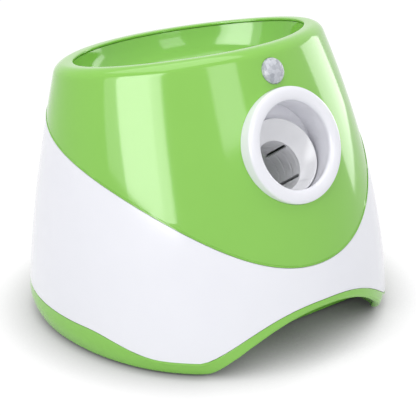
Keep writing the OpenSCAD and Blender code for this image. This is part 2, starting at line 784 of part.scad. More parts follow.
module first_gear() {
  color("#e4e2da")
    at_yz(first_at)
      difference() {
        union() {
          translate([middle_x - 0.5, 0, 0])
            gear(fast_mod, pinion_z, 1, 180 + first_lean + 180 / pinion_z, middle_w + 1);
          translate([first_x, 0, 0]) gear(fast_mod, first_z, wheel_add, motor_lean, first_w);
          rod(middle_x + middle_w + 0.4, first_x + 0.1, 3.4);
          rod(first_x + first_w - 0.1, plate_x - 0.4, 3.4);
          rod(-plate_x + 0.4, middle_x - 0.4, 3.4);
        }
        rod(-30, 30, pin_r + run_gap, round_fn);
      }
}

module gear_pins() {
  color("silver")
    for (p = [middle_at, first_at])
      at_yz(p) rod(-plate_x - plate_t, plate_x + plate_t, pin_r);
}

// Gearbox plates with their feet
foot_w = 16;
foot_t = 3;
plate_low = floor_z;
plate_edge_drop = rack_drop - 1;

module plate_outline() {
  hull() {
    translate(launch_yz(rail_s[0] + 5, plate_edge_drop)) circle(r = 5, $fn = 32);
    translate(launch_yz(rail_s[1] - 5, plate_edge_drop)) circle(r = 5, $fn = 32);
    translate(sector_at + [-16, 0]) circle(r = 6, $fn = 32);
    translate([sector_at[0] - 16, plate_low + 4]) circle(r = 4, $fn = 32);
    translate([motor_at[0] + 12, plate_low + 4]) circle(r = 4, $fn = 32);
    translate(motor_at + [10, 0]) circle(r = 8, $fn = 32);
  }
}

feet_y = [sector_at[0] - 10, motor_at[0] + 4];
gearbox_feet = [for (sx = [-1, 1]) for (y = feet_y) [sx * (plate_x + foot_w - 5), y]];

module gearbox_plate(sx) {
  x0 = sx > 0 ? plate_x : -plate_x - plate_t;
  difference() {
    union() {
      translate([x0, 0, 0]) rotate([90, 0, 90]) linear_extrude(plate_t) plate_outline();
      for (y = feet_y)
        translate([sx > 0 ? plate_x + 0.1 : -plate_x - foot_w - 0.1, y - 6, plate_low]) cube([foot_w, 12, foot_t]);
    }
    for (p = gearbox_feet)
      translate([p[0], p[1], 0]) cylinder(r = screw_r + 0.2, h = 20, $fn = 24);
    at_yz(sector_at) rod(-40, 40, bush_r, round_fn);
    for (p = [middle_at, first_at])
      at_yz(p) rod(-40, 40, pin_r);
    for (s = screw_s)
      at_yz(launch_yz(s, rail_screw_drop)) rod(-40, 40, screw_r + 0.2, 24);
    if (sx > 0)
      at_yz(motor_at) rod(-40, 40, 4.2);
    if (sx > 0)
      for (dz = [-8, 8])
        at_yz(motor_at) translate([0, 0, dz]) rod(0, 40, 1.2, 24);
    if (sx < 0)
      at_yz(motor_at) rod(-40, 0, 3);
  }
}

module gearbox_left() {
  color("#5a5d62") gearbox_plate(-1);
}

module gearbox_right() {
  color("#5a5d62") gearbox_plate(1);
}

module gearbox_screws() {
  color("silver")
    for (sx = [-1, 1]) {
      for (s = screw_s)
        at_yz(launch_yz(s, rail_screw_drop)) {
          rod(sx > 0 ? plate_x - rail_t : -plate_x - plate_t - 0.1, sx > 0 ? plate_x + plate_t + 0.1 : -plate_x + rail_t,
            screw_r - 0.05, 24);
          rod(sx > 0 ? plate_x + plate_t : -plate_x - plate_t - 1.8, sx > 0 ? plate_x + plate_t + 1.8 : -plate_x - plate_t,
            screw_head_r, 32);
        }
    }
  color("silver")
    for (p = gearbox_feet)
      translate([p[0], p[1], plate_low]) {
        translate([0, 0, 0.3 - floor_t]) cylinder(r = screw_r - 0.05, h = floor_t + foot_t, $fn = 24);
        translate([0, 0, foot_t]) cylinder(r = screw_head_r, h = 1.8, $fn = 32);
      }
}

// Motor
shaft_r = 1.15;

module motor_can() {
  color("#9a9da3")
    at_yz(motor_at)
      difference() {
        union() {
          rod(plate_x + plate_t, plate_x + plate_t + motor_len, motor_r, round_fn);
          rod(plate_x, plate_x + plate_t + 0.1, 4);
          rod(plate_x + plate_t + motor_len - 0.1, plate_x + plate_t + motor_len + 2.5, 5);
        }
        rod(-40, plate_x + plate_t + motor_len - 1, shaft_r + run_gap);
      }
}

module motor_rotor() {
  color("silver") at_yz(motor_at) rod(first_x - 2, plate_x + plate_t + motor_len - 2, shaft_r);
}

module motor_pinion() {
  color("#b08d57")
    at_yz(motor_at)
      difference() {
        translate([first_x - 1, 0, 0]) gear(fast_mod, pinion_z, 1, 180 + motor_lean + 180 / pinion_z, first_w + 4);
        rod(-40, 40, shaft_r);
      }
}

// Motion sensor behind its lens
lens_h = 5.5;

module sensor_lens() {
  color([0.93, 0.93, 0.95, 0.8])
    lens_frame()
      difference() {
        union() {
          rotate_extrude($fn = round_fn)
            polygon(concat([[0, -5.4], [lens_r, -5.4]],
              [for (t = [0 : 15 : 90]) [lens_r * cos(t), lens_h * sin(t)]]));
          translate([0, 0, -wall - 3.6]) cylinder(r = lens_r + 2, h = 1.5, $fn = round_fn);
        }
        rotate_extrude($fn = round_fn)
          polygon(concat([[0, -9], [lens_r - 1.2, -9]],
            [for (t = [0 : 15 : 90]) [(lens_r - 1.2) * cos(t), (lens_h - 1) * sin(t)]]));
      }
}

module sensor_holder() {
  color("#2c2c2e")
    lens_frame()
      difference() {
        translate([0, 0, -13.6]) cylinder(r = lens_r + 2, h = 7.1, $fn = round_fn);
        translate([0, 0, -12]) cylinder(r = lens_r - 1.2, h = 20, $fn = round_fn);
        translate([0, 0, -16]) cylinder(r = 4.8, h = 16, $fn = round_fn);
      }
}

module motion_sensor() {
  color("#c9b27a")
    lens_frame() {
      translate([0, 0, -14.2]) cylinder(r = 4.5, h = 6.2, $fn = round_fn);
      translate([-10, -11, -15.6]) cube([20, 20, 1.6]);
    }
}

// Light barrier across the ball's seat
detector_r = 2.5;

module ball_detector() {
  color("#303236")
    launch_frame()
      for (sx = [-1, 1])
        behind(seat_s) rotate([0, sx * 90, 0]) {
          translate([0, 0, tube_r + 0.3]) cylinder(r = detector_r, h = tube_wall + 2, $fn = 32);
          translate([0, 0, tube_out + 0.3]) cylinder(r = detector_r + 1.5, h = 4, $fn = 32);
        }
}

// Control panel at the back
panel_t = 3;
panel_deep = 11.8;
board_back = 14;
board_t = 1.6;
button_up = 8;
light_up = 17;
socket_down = 13;
socket_w = 9.4;
socket_h = 8;

module control_panel() {
  color("#4d5056")
    panel_frame()
      difference() {
        union() {
          translate([0, 0, -panel_deep]) linear_extrude(panel_deep) panel_outline(0);
          translate([0, 0, -panel_deep]) linear_extrude(1.4) panel_outline(2.2);
        }
        translate([0, 0, -panel_deep - 1]) linear_extrude(panel_deep + 1 - panel_t) panel_outline(-2);
        for (sx = [-1, 1])
          translate([sx * button_pitch / 2, button_up, -10]) cylinder(r = button_r + 0.3, h = 20, $fn = round_fn);
        for (k = [-1 : 1])
          translate([10 * k, light_up, -10]) cylinder(r = 1.7, h = 20, $fn = 32);
        translate([0, -socket_down, -10]) cylinder(r = 4.2, h = 20, $fn = round_fn);
        for (sx = [-1, 1])
          translate([sx * (panel_w / 2 - 5), -panel_h / 2 + 6, -10]) cylinder(r = 1, h = 8.5, $fn = 24);
      }
}

module push_button(sx) {
  panel_frame()
    translate([sx * button_pitch / 2, button_up, 0]) {
      translate([0, 0, -panel_t - 0.3]) cylinder(r = button_r, h = panel_t + 0.3 + button_travel, $fn = round_fn);
      translate([0, 0, -panel_t - 1.8]) cylinder(r = button_r + 1.5, h = 1.5, $fn = round_fn);
      translate([0, 0, -board_back + switch_h + button_travel + 0.1])
        cylinder(r = 2, h = board_back - switch_h - button_travel - panel_t - 1, $fn = 32);
    }
}

module power_button() {
  color("#d8352c") push_button(-1);
}

module range_button() {
  color(white) push_button(1);
}

module indicator_lights() {
  color([0.55, 0.9, 0.45, 0.9])
    panel_frame()
      for (k = [-1 : 1])
        translate([10 * k, light_up, -board_back]) {
          cylinder(r = 1.5, h = board_back + 0.3, $fn = 32);
          cylinder(r = 2.4, h = 6, $fn = 32);
        }
}

module dc_socket() {
  color("#1e1e20")
    panel_frame()
      translate([0, -socket_down, 0])
        difference() {
          union() {
            translate([-socket_w / 2, -socket_h / 2, -board_back]) cube([socket_w, socket_h, board_back - panel_t - 0.3]);
            translate([0, 0, -panel_t - 1]) cylinder(r = 3.9, h = panel_t + 1, $fn = round_fn);
          }
          difference() {
            translate([0, 0, -10]) cylinder(r = 2.75, h = 12, $fn = round_fn);
            translate([0, 0, -11]) cylinder(r = 1, h = 10, $fn = 32);
          }
        }
}

// Board behind the panel, with its parts
switch_h = 4;

module control_board() {
  color("#2f7d4a")
    panel_frame()
      difference() {
        translate([-panel_w / 2 + 2, -panel_h / 2 + 2, -board_back - board_t]) cube([panel_w - 4, panel_h - 4, board_t]);
        for (sx = [-1, 1])
          translate([sx * (panel_w / 2 - 5), -panel_h / 2 + 6, -board_back - 5]) cylinder(r = 1.2, h = 8, $fn = 24);
      }
}

module key_switches() {
  color("#26272a")
    panel_frame()
      for (sx = [-1, 1])
        translate([sx * button_pitch / 2, button_up, -board_back]) {
          translate([-3, -3, 0]) cube([6, 6, switch_h - 0.6]);
          cylinder(r = 1.75, h = switch_h, $fn = 32);
        }
}

module buzzer() {
  color("#1e1e20")
    panel_frame() translate([20, -socket_down + 2, -board_back]) cylinder(r = 5, h = 5.5, $fn = round_fn);
}

module board_screws() {
  color("silver")
    panel_frame()
      for (sx = [-1, 1])
        translate([sx * (panel_w / 2 - 5), -panel_h / 2 + 6, -board_back - board_t]) {
          translate([0, 0, -1.6]) cylinder(r = 2, h = 1.6, $fn = 32);
          cylinder(r = 0.95, h = board_back + board_t - 5, $fn = 24);
        }
}

// Battery box, cells, contacts and door
bay_roof = floor_z + cell_d + 2.5;
cell_z = floor_z + cell_d / 2 + 0.8;
door_t = 1.6;
door_gap = 0.5;
door_lip = 4;
door_in_y = bay_y - door_lip;
door_out_y = bay_y + bay_out_l + 3;
hinge_r = 1.3;
hinge_pin_r = 0.9;
hinge_pin_l = 3;
hinge_at = [door_out_y - 2.4, pad_stand + hinge_r];
door_half_w = bay_out_w / 2 + door_lip;
notch_r = 9;

module battery_box() {
  color("#35373b")
    translate([0, bay_mid, 0])
      difference() {
        translate([-bay_out_w / 2, -bay_out_l / 2, floor_z]) cube([bay_out_w, bay_out_l, bay_roof + bay_wall - floor_z]);
        translate([-bay_in_w / 2, -bay_in_l / 2, floor_z - 1]) cube([bay_in_w, bay_in_l, bay_roof - floor_z + 1]);
      }
}

module battery_cells() {
  color("#c9a23c")
    for (row = [0 : cell_rows - 1])
      for (sx = [-1, 1])
        translate([0, bay_y + bay_wall + (row + 0.5) * bay_pitch, cell_z]) {
          rod(sx > 0 ? 0.2 : -cell_len + 1.7, sx > 0 ? cell_len - 1.7 : -0.2, cell_d / 2, round_fn);
          rod(sx > 0 ? cell_len - 1.8 : -cell_len, sx > 0 ? cell_len : -cell_len + 1.8, 3.5, 32);
        }
}

module battery_contacts() {
  color("silver")
    for (row = [0 : cell_rows - 1])
      for (sx = [-1, 1])
        translate([0, bay_y + bay_wall + (row + 0.5) * bay_pitch, cell_z]) {
          translate([sx * (bay_in_w / 2 - 0.5), 0, 0]) cube([0.6, 16, 16], center = true);
          rod(sx > 0 ? cell_len + 0.2 : -bay_in_w / 2 + 0.7, sx > 0 ? bay_in_w / 2 - 0.7 : -cell_len - 0.2, 4, 32);
        }
}

module battery_door() {
  color(green)
    difference() {
      union() {
        translate([-door_half_w + door_gap, door_in_y + door_gap, pad_stand])
          cube([2 * (door_half_w - door_gap), hinge_at[0] - door_in_y - door_gap, door_t]);
        at_yz(hinge_at) {
          rod(-door_half_w + door_gap, door_half_w - door_gap, hinge_r, 32);
          rod(-door_half_w - hinge_pin_l + 0.3, door_half_w + hinge_pin_l - 0.3, hinge_pin_r, 32);
        }
      }
      translate([0, door_in_y - 4, pad_stand - notch_r + 0.9]) sphere(r = notch_r, $fn = 48);
    }
}

// Wires from the board to the motor, the batteries, the motion sensor and the light barrier
wire_r = 1.2;
board_y = panel_face - board_back - board_t - wire_r - 0.5;
sensor_end = [0, front_y(lens_z) - 8 * sin(lens_tilt) + 17.2 * cos(lens_tilt),
  lens_z - 8 * cos(lens_tilt) - 17.2 * sin(lens_tilt)];
motor_wire = [[58, motor_at[0], motor_at[1] + 8], [66, motor_at[0] + 2, 48], [70, 60, 56], [56, 96, 64],
  [30, 116, 72], [14, board_y, 74]];
battery_wire = [[-40, 112, bay_roof + bay_wall + 1.5], [-30, 118, 42], [-16, board_y - 1, 56], [-12, board_y, 66]];
sensor_wire = [sensor_end, [34, -58, 204], [70, -30, 172], [84, 30, 140], [60, 92, 112], [20, 118, 96], [6, board_y, 90]];

function curve(p, steps) =
  concat([for (i = [0 : len(p) - 2]) for (k = [0 : steps - 1])
    let (a = p[max(i - 1, 0)], b = p[i], c = p[i + 1], d = p[min(i + 2, len(p) - 1)], t = k / steps)
    0.5 * (2 * b + (c - a) * t + (2 * a - 5 * b + 4 * c - d) * t * t + (3 * b - a - 3 * c + d) * t * t * t)],
    [p[len(p) - 1]]);

module wiring() {
  color("#222326")
    for (path = [motor_wire, battery_wire, sensor_wire])
      sweep(curve(path, 5), wire_r, 6);
}

upper_shell();
lower_shell();
base();
hopper_bowl();
ball_chute();
nozzle_ring();
launch_tube();
plunger();
plunger_pad();
plunger_spring();
spring_cap();
gearbox_left();
gearbox_right();
gearbox_screws();
sector_gear();
final_gear();
sector_shaft();
shaft_bushes();
middle_gear();
first_gear();
gear_pins();
motor_can();
motor_rotor();
motor_pinion();
sensor_lens();
sensor_holder();
motion_sensor();
ball_detector();
control_panel();
power_button();
range_button();
indicator_lights();
dc_socket();
control_board();
key_switches();
buzzer();
board_screws();
battery_box();
battery_cells();
battery_contacts();
battery_door();
floor_pads();
shell_screws();
wiring();
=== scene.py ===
"""Looks of an automatic dog ball launcher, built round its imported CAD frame.

Shapes are worked out in millimetres, in the CAD's own frame, and become metres when a mesh is made.
"""

from __future__ import annotations

import json
import logging
import math
from dataclasses import dataclass, field
from enum import Enum
from typing import Any, Callable, Sequence

import bmesh
import bpy
import numpy as np
from mathutils import Matrix, Vector
from mathutils.bvhtree import BVHTree

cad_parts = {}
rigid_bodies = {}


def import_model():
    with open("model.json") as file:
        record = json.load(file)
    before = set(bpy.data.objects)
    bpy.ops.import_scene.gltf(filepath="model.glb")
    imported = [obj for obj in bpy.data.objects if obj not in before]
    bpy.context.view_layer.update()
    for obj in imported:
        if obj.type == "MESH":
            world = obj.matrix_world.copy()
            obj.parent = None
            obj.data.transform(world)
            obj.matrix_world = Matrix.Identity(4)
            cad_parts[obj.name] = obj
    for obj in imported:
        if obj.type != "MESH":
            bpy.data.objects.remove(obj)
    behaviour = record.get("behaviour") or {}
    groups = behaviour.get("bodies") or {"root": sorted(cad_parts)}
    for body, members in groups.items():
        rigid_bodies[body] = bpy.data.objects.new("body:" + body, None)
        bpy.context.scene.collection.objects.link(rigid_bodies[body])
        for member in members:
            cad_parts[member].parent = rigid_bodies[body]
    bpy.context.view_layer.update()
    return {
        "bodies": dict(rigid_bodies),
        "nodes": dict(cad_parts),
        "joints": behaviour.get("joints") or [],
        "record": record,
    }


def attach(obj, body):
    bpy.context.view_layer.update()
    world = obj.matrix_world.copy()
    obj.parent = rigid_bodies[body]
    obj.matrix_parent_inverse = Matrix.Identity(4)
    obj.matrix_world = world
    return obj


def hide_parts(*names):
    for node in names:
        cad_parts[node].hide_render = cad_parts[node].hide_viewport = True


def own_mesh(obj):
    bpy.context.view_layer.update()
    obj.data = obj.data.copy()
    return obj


LOG = logging.getLogger("ball_launcher")
MM = 0.001
Points = np.ndarray
Fit = Callable[[Points], Points]


class Slot(Enum):
    """Names of the record's material slots."""

    GREEN = "green_shell"
    WHITE = "white_shell"
    LENS = "frosted_lens"
    SPRING = "spring_steel"
    ZINC = "zinc_steel"


# ---------------------------------------------------------------- nodes and finishes


def linear(hex_colour: str) -> tuple[float, float, float, float]:
    """Turns an sRGB hex colour to linear light.

    Args:
        hex_colour: Six hex digits, with or without a leading hash.

    Returns:
        Red, green, blue and a full alpha for a node's socket.
    """
    digits = hex_colour.lstrip("#")
    parts = [int(digits[i : i + 2], 16) / 255 for i in (0, 2, 4)]
    r, g, b = (c / 12.92 if c <= 0.04045 else ((c + 0.055) / 1.055) ** 2.4 for c in parts)
    return r, g, b, 1.0


def add_node(
    tree: bpy.types.NodeTree, kind: str, inputs: dict[Any, Any] | None = None, **settings: Any
) -> bpy.types.Node:
    """Adds one node, sets its properties, and fills or links its inputs.

    Args:
        tree: Tree that gets the node.
        kind: The node's type name.
        inputs: Input name or index to a value, or to the socket that it is linked from.
        **settings: Properties of the node.

    Returns:
        The new node.
    """
    node = tree.nodes.new(kind)
    for name, value in settings.items():
        setattr(node, name, value)
    for name, value in (inputs or {}).items():
        if isinstance(value, bpy.types.NodeSocket):
            tree.links.new(value, node.inputs[name])
        else:
            node.inputs[name].default_value = value
    return node


def new_material(name: str) -> tuple[bpy.types.Material, bpy.types.NodeTree]:
    """Makes an empty node material.

    Args:
        name: The material's name.

    Returns:
        The material and its tree.
    """
    material = bpy.data.materials.new(name)
    material.use_nodes = True
    material.node_tree.nodes.clear()
    return material, material.node_tree


@dataclass(frozen=True)
class Finish:
    """A real material and how its surface was made, drawn by nodes on Object coordinates."""

    name: str

    def surface(self, tree: bpy.types.NodeTree, where: bpy.types.NodeSocket) -> dict[str, Any]:
        """Builds the pattern of the surface.

        Args:
            tree: Tree that gets the nodes.
            where: Object coordinates.

        Returns:
            Inputs of the surface's shader.
        """
        raise NotImplementedError

    def make(self) -> bpy.types.Material:
        """Builds the material: the surface's pattern, its shader and the output."""
        material, tree = new_material(self.name)
        where = add_node(tree, "ShaderNodeTexCoord").outputs["Object"]
        shader = add_node(tree, "ShaderNodeBsdfPrincipled", self.surface(tree, where))
        add_node(tree, "ShaderNodeOutputMaterial", {"Surface": shader.outputs[0]})
        return material


@dataclass(frozen=True)
class Moulded(Finish):
    """Injection-moulded plastic: a tone that drifts a little, a faint ripple from the tool, and its gloss."""

    colour: str
    shade: str
    roughness: float = 0.14
    ior: float = 1.53
    drift_mm: float = 60.0
    grain_mm: float = 4.0
    grain: float = 0.012
    grain_height_mm: float = 0.1
    transmission: float = 0.0
    subsurface: float = 0.0

    def surface(self, tree: bpy.types.NodeTree, where: bpy.types.NodeSocket) -> dict[str, Any]:
        """Two near tones mixed by a broad noise, gloss, and a bump of the surface's grain."""
        broad = add_node(
            tree,
            "ShaderNodeTexNoise",
            {"Vector": where, "Scale": 1 / (self.drift_mm * MM), "Detail": 2.0},
        )
        tone = add_node(
            tree,
            "ShaderNodeMix",
            {0: broad.outputs["Fac"], 6: linear(self.colour), 7: linear(self.shade)},
            data_type="RGBA",
        )
        fine = add_node(
            tree,
            "ShaderNodeTexNoise",
            {"Vector": where, "Scale": 1 / (self.grain_mm * MM), "Detail": 3.0},
        )
        bump = add_node(
            tree,
            "ShaderNodeBump",
            {
                "Height": fine.outputs["Fac"],
                "Strength": self.grain,
                "Distance": self.grain_height_mm * MM,
            },
        )
        return {
            "Base Color": tone.outputs[2],
            "Normal": bump.outputs["Normal"],
            "Roughness": self.roughness,
            "IOR": self.ior,
            "Transmission Weight": self.transmission,
            "Subsurface Weight": self.subsurface,
            "Subsurface Radius": (0.004, 0.004, 0.003),
        }


@dataclass(frozen=True)
class Cells(Finish):
    """Milky plastic moulded in small convex cells, as a motion sensor's lens is, each cell painted a lighter
    or darker grey as painted shade of its facet.
    """

    colour: str
    shade: str
    cell_mm: float
    roughness: float = 0.22

    def surface(self, tree: bpy.types.NodeTree, where: bpy.types.NodeSocket) -> dict[str, Any]:
        """Each cell gets a random grey between the lit and the shaded tone, painted shade that stands in for
        how light falls on each facet, and bulges up from the lines between the cells.
        """
        lay = {"Vector": where, "Scale": 1 / (self.cell_mm * MM), "Randomness": 0.55}
        cells = add_node(tree, "ShaderNodeTexVoronoi", lay)
        edges = add_node(tree, "ShaderNodeTexVoronoi", lay, feature="DISTANCE_TO_EDGE")
        # Painted shade: a random pick per cell between the light and the dark grey stands in for how light
        # falls on each facet.
        own = add_node(tree, "ShaderNodeSeparateColor", {0: cells.outputs["Color"]})
        tone = add_node(
            tree,
            "ShaderNodeMix",
            {0: own.outputs[0], 6: linear(self.colour), 7: linear(self.shade)},
            data_type="RGBA",
        )
        bulge = add_node(tree, "ShaderNodeMath", {0: edges.outputs["Distance"], 1: 0.45}, operation="POWER")
        bump = add_node(
            tree, "ShaderNodeBump", {"Height": bulge.outputs[0], "Strength": 0.55, "Distance": 0.6 * MM}
        )
        return {
            "Base Color": tone.outputs[2],
            "Roughness": self.roughness,
            "Normal": bump.outputs["Normal"],
            "Subsurface Weight": 0.2,
            "Subsurface Radius": (0.002, 0.002, 0.002),
        }


@dataclass(frozen=True)
class Metal(Finish):
    """Bare or plated metal with fine lines from how it was drawn, turned or ground."""

    colour: str
    dark: str
    roughness: float = 0.3
    line_mm: float = 0.5
    stretch: tuple[float, float, float] = (1.0, 0.05, 0.05)
    depth: float = 0.1

    def surface(self, tree: bpy.types.NodeTree, where: bpy.types.NodeSocket) -> dict[str, Any]:
        """Metal whose tone, roughness and bump follow stretched noise lines."""
        lay = add_node(tree, "ShaderNodeMapping", {"Vector": where, "Scale": self.stretch})
        lines = add_node(
            tree,
            "ShaderNodeTexNoise",
            {"Vector": lay.outputs[0], "Scale": 1 / (self.line_mm * MM), "Detail": 4.0},
        )
        tone = add_node(
            tree,
            "ShaderNodeMix",
            {0: lines.outputs["Fac"], 6: linear(self.dark), 7: linear(self.colour)},
            data_type="RGBA",
        )
        gloss = add_node(
            tree,
            "ShaderNodeMapRange",
            {
                "Value": lines.outputs["Fac"],
                "To Min": self.roughness * 0.8,
                "To Max": self.roughness * 1.25,
            },
        )
        bump = add_node(
            tree,
            "ShaderNodeBump",
            {"Height": lines.outputs["Fac"], "Strength": self.depth, "Distance": 0.05 * MM},
        )
        return {
            "Base Color": tone.outputs[2],
            "Roughness": gloss.outputs[0],
            "Normal": bump.outputs["Normal"],
            "Metallic": 1.0,
        }


@dataclass(frozen=True)
class Banded(Finish):
    """A printed surface in two tones that change along X, such as a cell's jacket."""

    body: str
    band: str
    edge_mm: float
    roughness: float = 0.25

    def surface(self, tree: bpy.types.NodeTree, where: bpy.types.NodeSocket) -> dict[str, Any]:
        """The band's colour beyond a distance from the middle, the body's within it."""
        parts = add_node(tree, "ShaderNodeSeparateXYZ", {0: where})
        away = add_node(tree, "ShaderNodeMath", {0: parts.outputs["X"]}, operation="ABSOLUTE")
        outside = add_node(
            tree, "ShaderNodeMath", {0: away.outputs[0], 1: self.edge_mm * MM}, operation="GREATER_THAN"
        )
        tone = add_node(
            tree,
            "ShaderNodeMix",
            {0: outside.outputs[0], 6: linear(self.body), 7: linear(self.band)},
            data_type="RGBA",
        )
        grain = add_node(tree, "ShaderNodeTexNoise", {"Vector": where, "Scale": 900.0})
        bump = add_node(
            tree,
            "ShaderNodeBump",
            {"Height": grain.outputs["Fac"], "Strength": 0.05, "Distance": 0.05 * MM},
        )
        return {
            "Base Color": tone.outputs[2],
            "Roughness": self.roughness,
            "Normal": bump.outputs["Normal"],
            "Metallic": 0.3,
        }


# Glossy ABS in grass green: the tool's mirror polish gives sharp strip reflections.
GREEN_ABS = Moulded("gloss_abs_green_moulded", "#8bc954", "#86c44f", roughness=0.1)
# Glossy ABS in a cool white, polished like the green.
WHITE_ABS = Moulded("gloss_abs_white_moulded", "#f0f0f5", "#ebebf1", roughness=0.16)
# Satin white ABS of the launch tube: a plain machined tool, so softer reflections.
TUBE_ABS = Moulded("satin_abs_white_moulded", "#eeeef0", "#e8e8ea", roughness=0.32)
# Acetal: slightly waxy and translucent, as gears and sliders are.
ACETAL = Moulded("acetal_natural_moulded", "#e6e3da", "#dfdbd0", roughness=0.38, subsurface=0.1)
GREY_ACETAL = Moulded("acetal_grey_moulded", "#c9cace", "#bfc0c5", roughness=0.36)
# Glass-filled nylon: dark, dull, with a fine fibre grain.
NYLON = Moulded("nylon_glass_filled_moulded", "#34363a", "#292b2e", roughness=0.5, grain_mm=0.9, grain=0.3)
# Spark-eroded ABS: an even matt grain that hides finger marks.
SPARK_ABS = Moulded("abs_grey_spark_eroded", "#4d5056", "#45484e", roughness=0.55, grain_mm=0.7, grain=0.45)
RED_ABS = Moulded("gloss_abs_red_moulded", "#d6332a", "#cb2f27", roughness=0.2)
# Nitrile rubber: near black with a dry bloom.
RUBBER = Moulded("nitrile_rubber_moulded", "#2b2b2d", "#363638", roughness=0.72, grain_mm=1.2, grain=0.35)
# Polyethylene lens: milky, with its facets painted in soft greys, lighter and darker, as painted shade.
LENS = Cells("polyethylene_lens_moulded", "#cfd1d7", "#a3a6ae", 3.4)
LAMINATE = Moulded("laminate_solder_masked", "#2b7a46", "#226638", roughness=0.3, grain_mm=1.5, grain=0.25)
PVC = Moulded("pvc_wire_jacket_extruded", "#222326", "#2c2d31", roughness=0.42)
EPOXY = Moulded("epoxy_light_body_cast", "#9bdc7d", "#86cc68", roughness=0.12, transmission=0.45)
# Cold-drawn steels, plated or bare.
ZINC_STEEL = Metal("zinc_plated_steel", "#c9ccd1", "#aeb1b6", roughness=0.28)
BRIGHT_STEEL = Metal("bright_steel_ground", "#d0d0d2", "#b4b4b8", roughness=0.2, stretch=(0.05, 1.0, 1.0))
SPRING_STEEL = Metal("spring_steel_drawn", "#b9babd", "#98999d", roughness=0.33)
CAN_STEEL = Metal(
    "motor_can_zinc_drawn", "#b5b8bd", "#a0a3a8", roughness=0.4, line_mm=1.5, stretch=(0.1, 1.0, 1.0)
)
BRASS = Metal("brass_turned", "#d8b766", "#b89548", roughness=0.25, stretch=(0.05, 1.0, 1.0))
BRONZE = Metal(
    "bronze_sintered",
    "#a97d4a",
    "#8a6237",
    roughness=0.5,
    line_mm=0.8,
    stretch=(1.0, 1.0, 1.0),
    depth=0.4,
)
NICKEL = Metal("nickel_plated_strip", "#d6d2c6", "#bdb9ad", roughness=0.22)
CELL = Banded("cell_jacket_printed", "#2a2b2e", "#c8963c", 34.0)


class Finishes:
    """Makes each finish once and hands out its material."""

    def __init__(self) -> None:
        """Starts with no material made."""
        self.made: dict[str, bpy.types.Material] = {}

    def of(self, finish: Finish) -> bpy.types.Material:
        """Gives a finish's material.

        Args:
            finish: A finish.

        Returns:
            Its material, made the first time it is asked for.
        """
        if finish.name not in self.made:
            self.made[finish.name] = finish.make()
        return self.made[finish.name]


FINISHES = Finishes()


# ---------------------------------------------------------------- shape of the body


def mix(a: Any, b: Any, t: Any) -> Any:
    """Blends from a to b by t."""
    return a + (b - a) * t


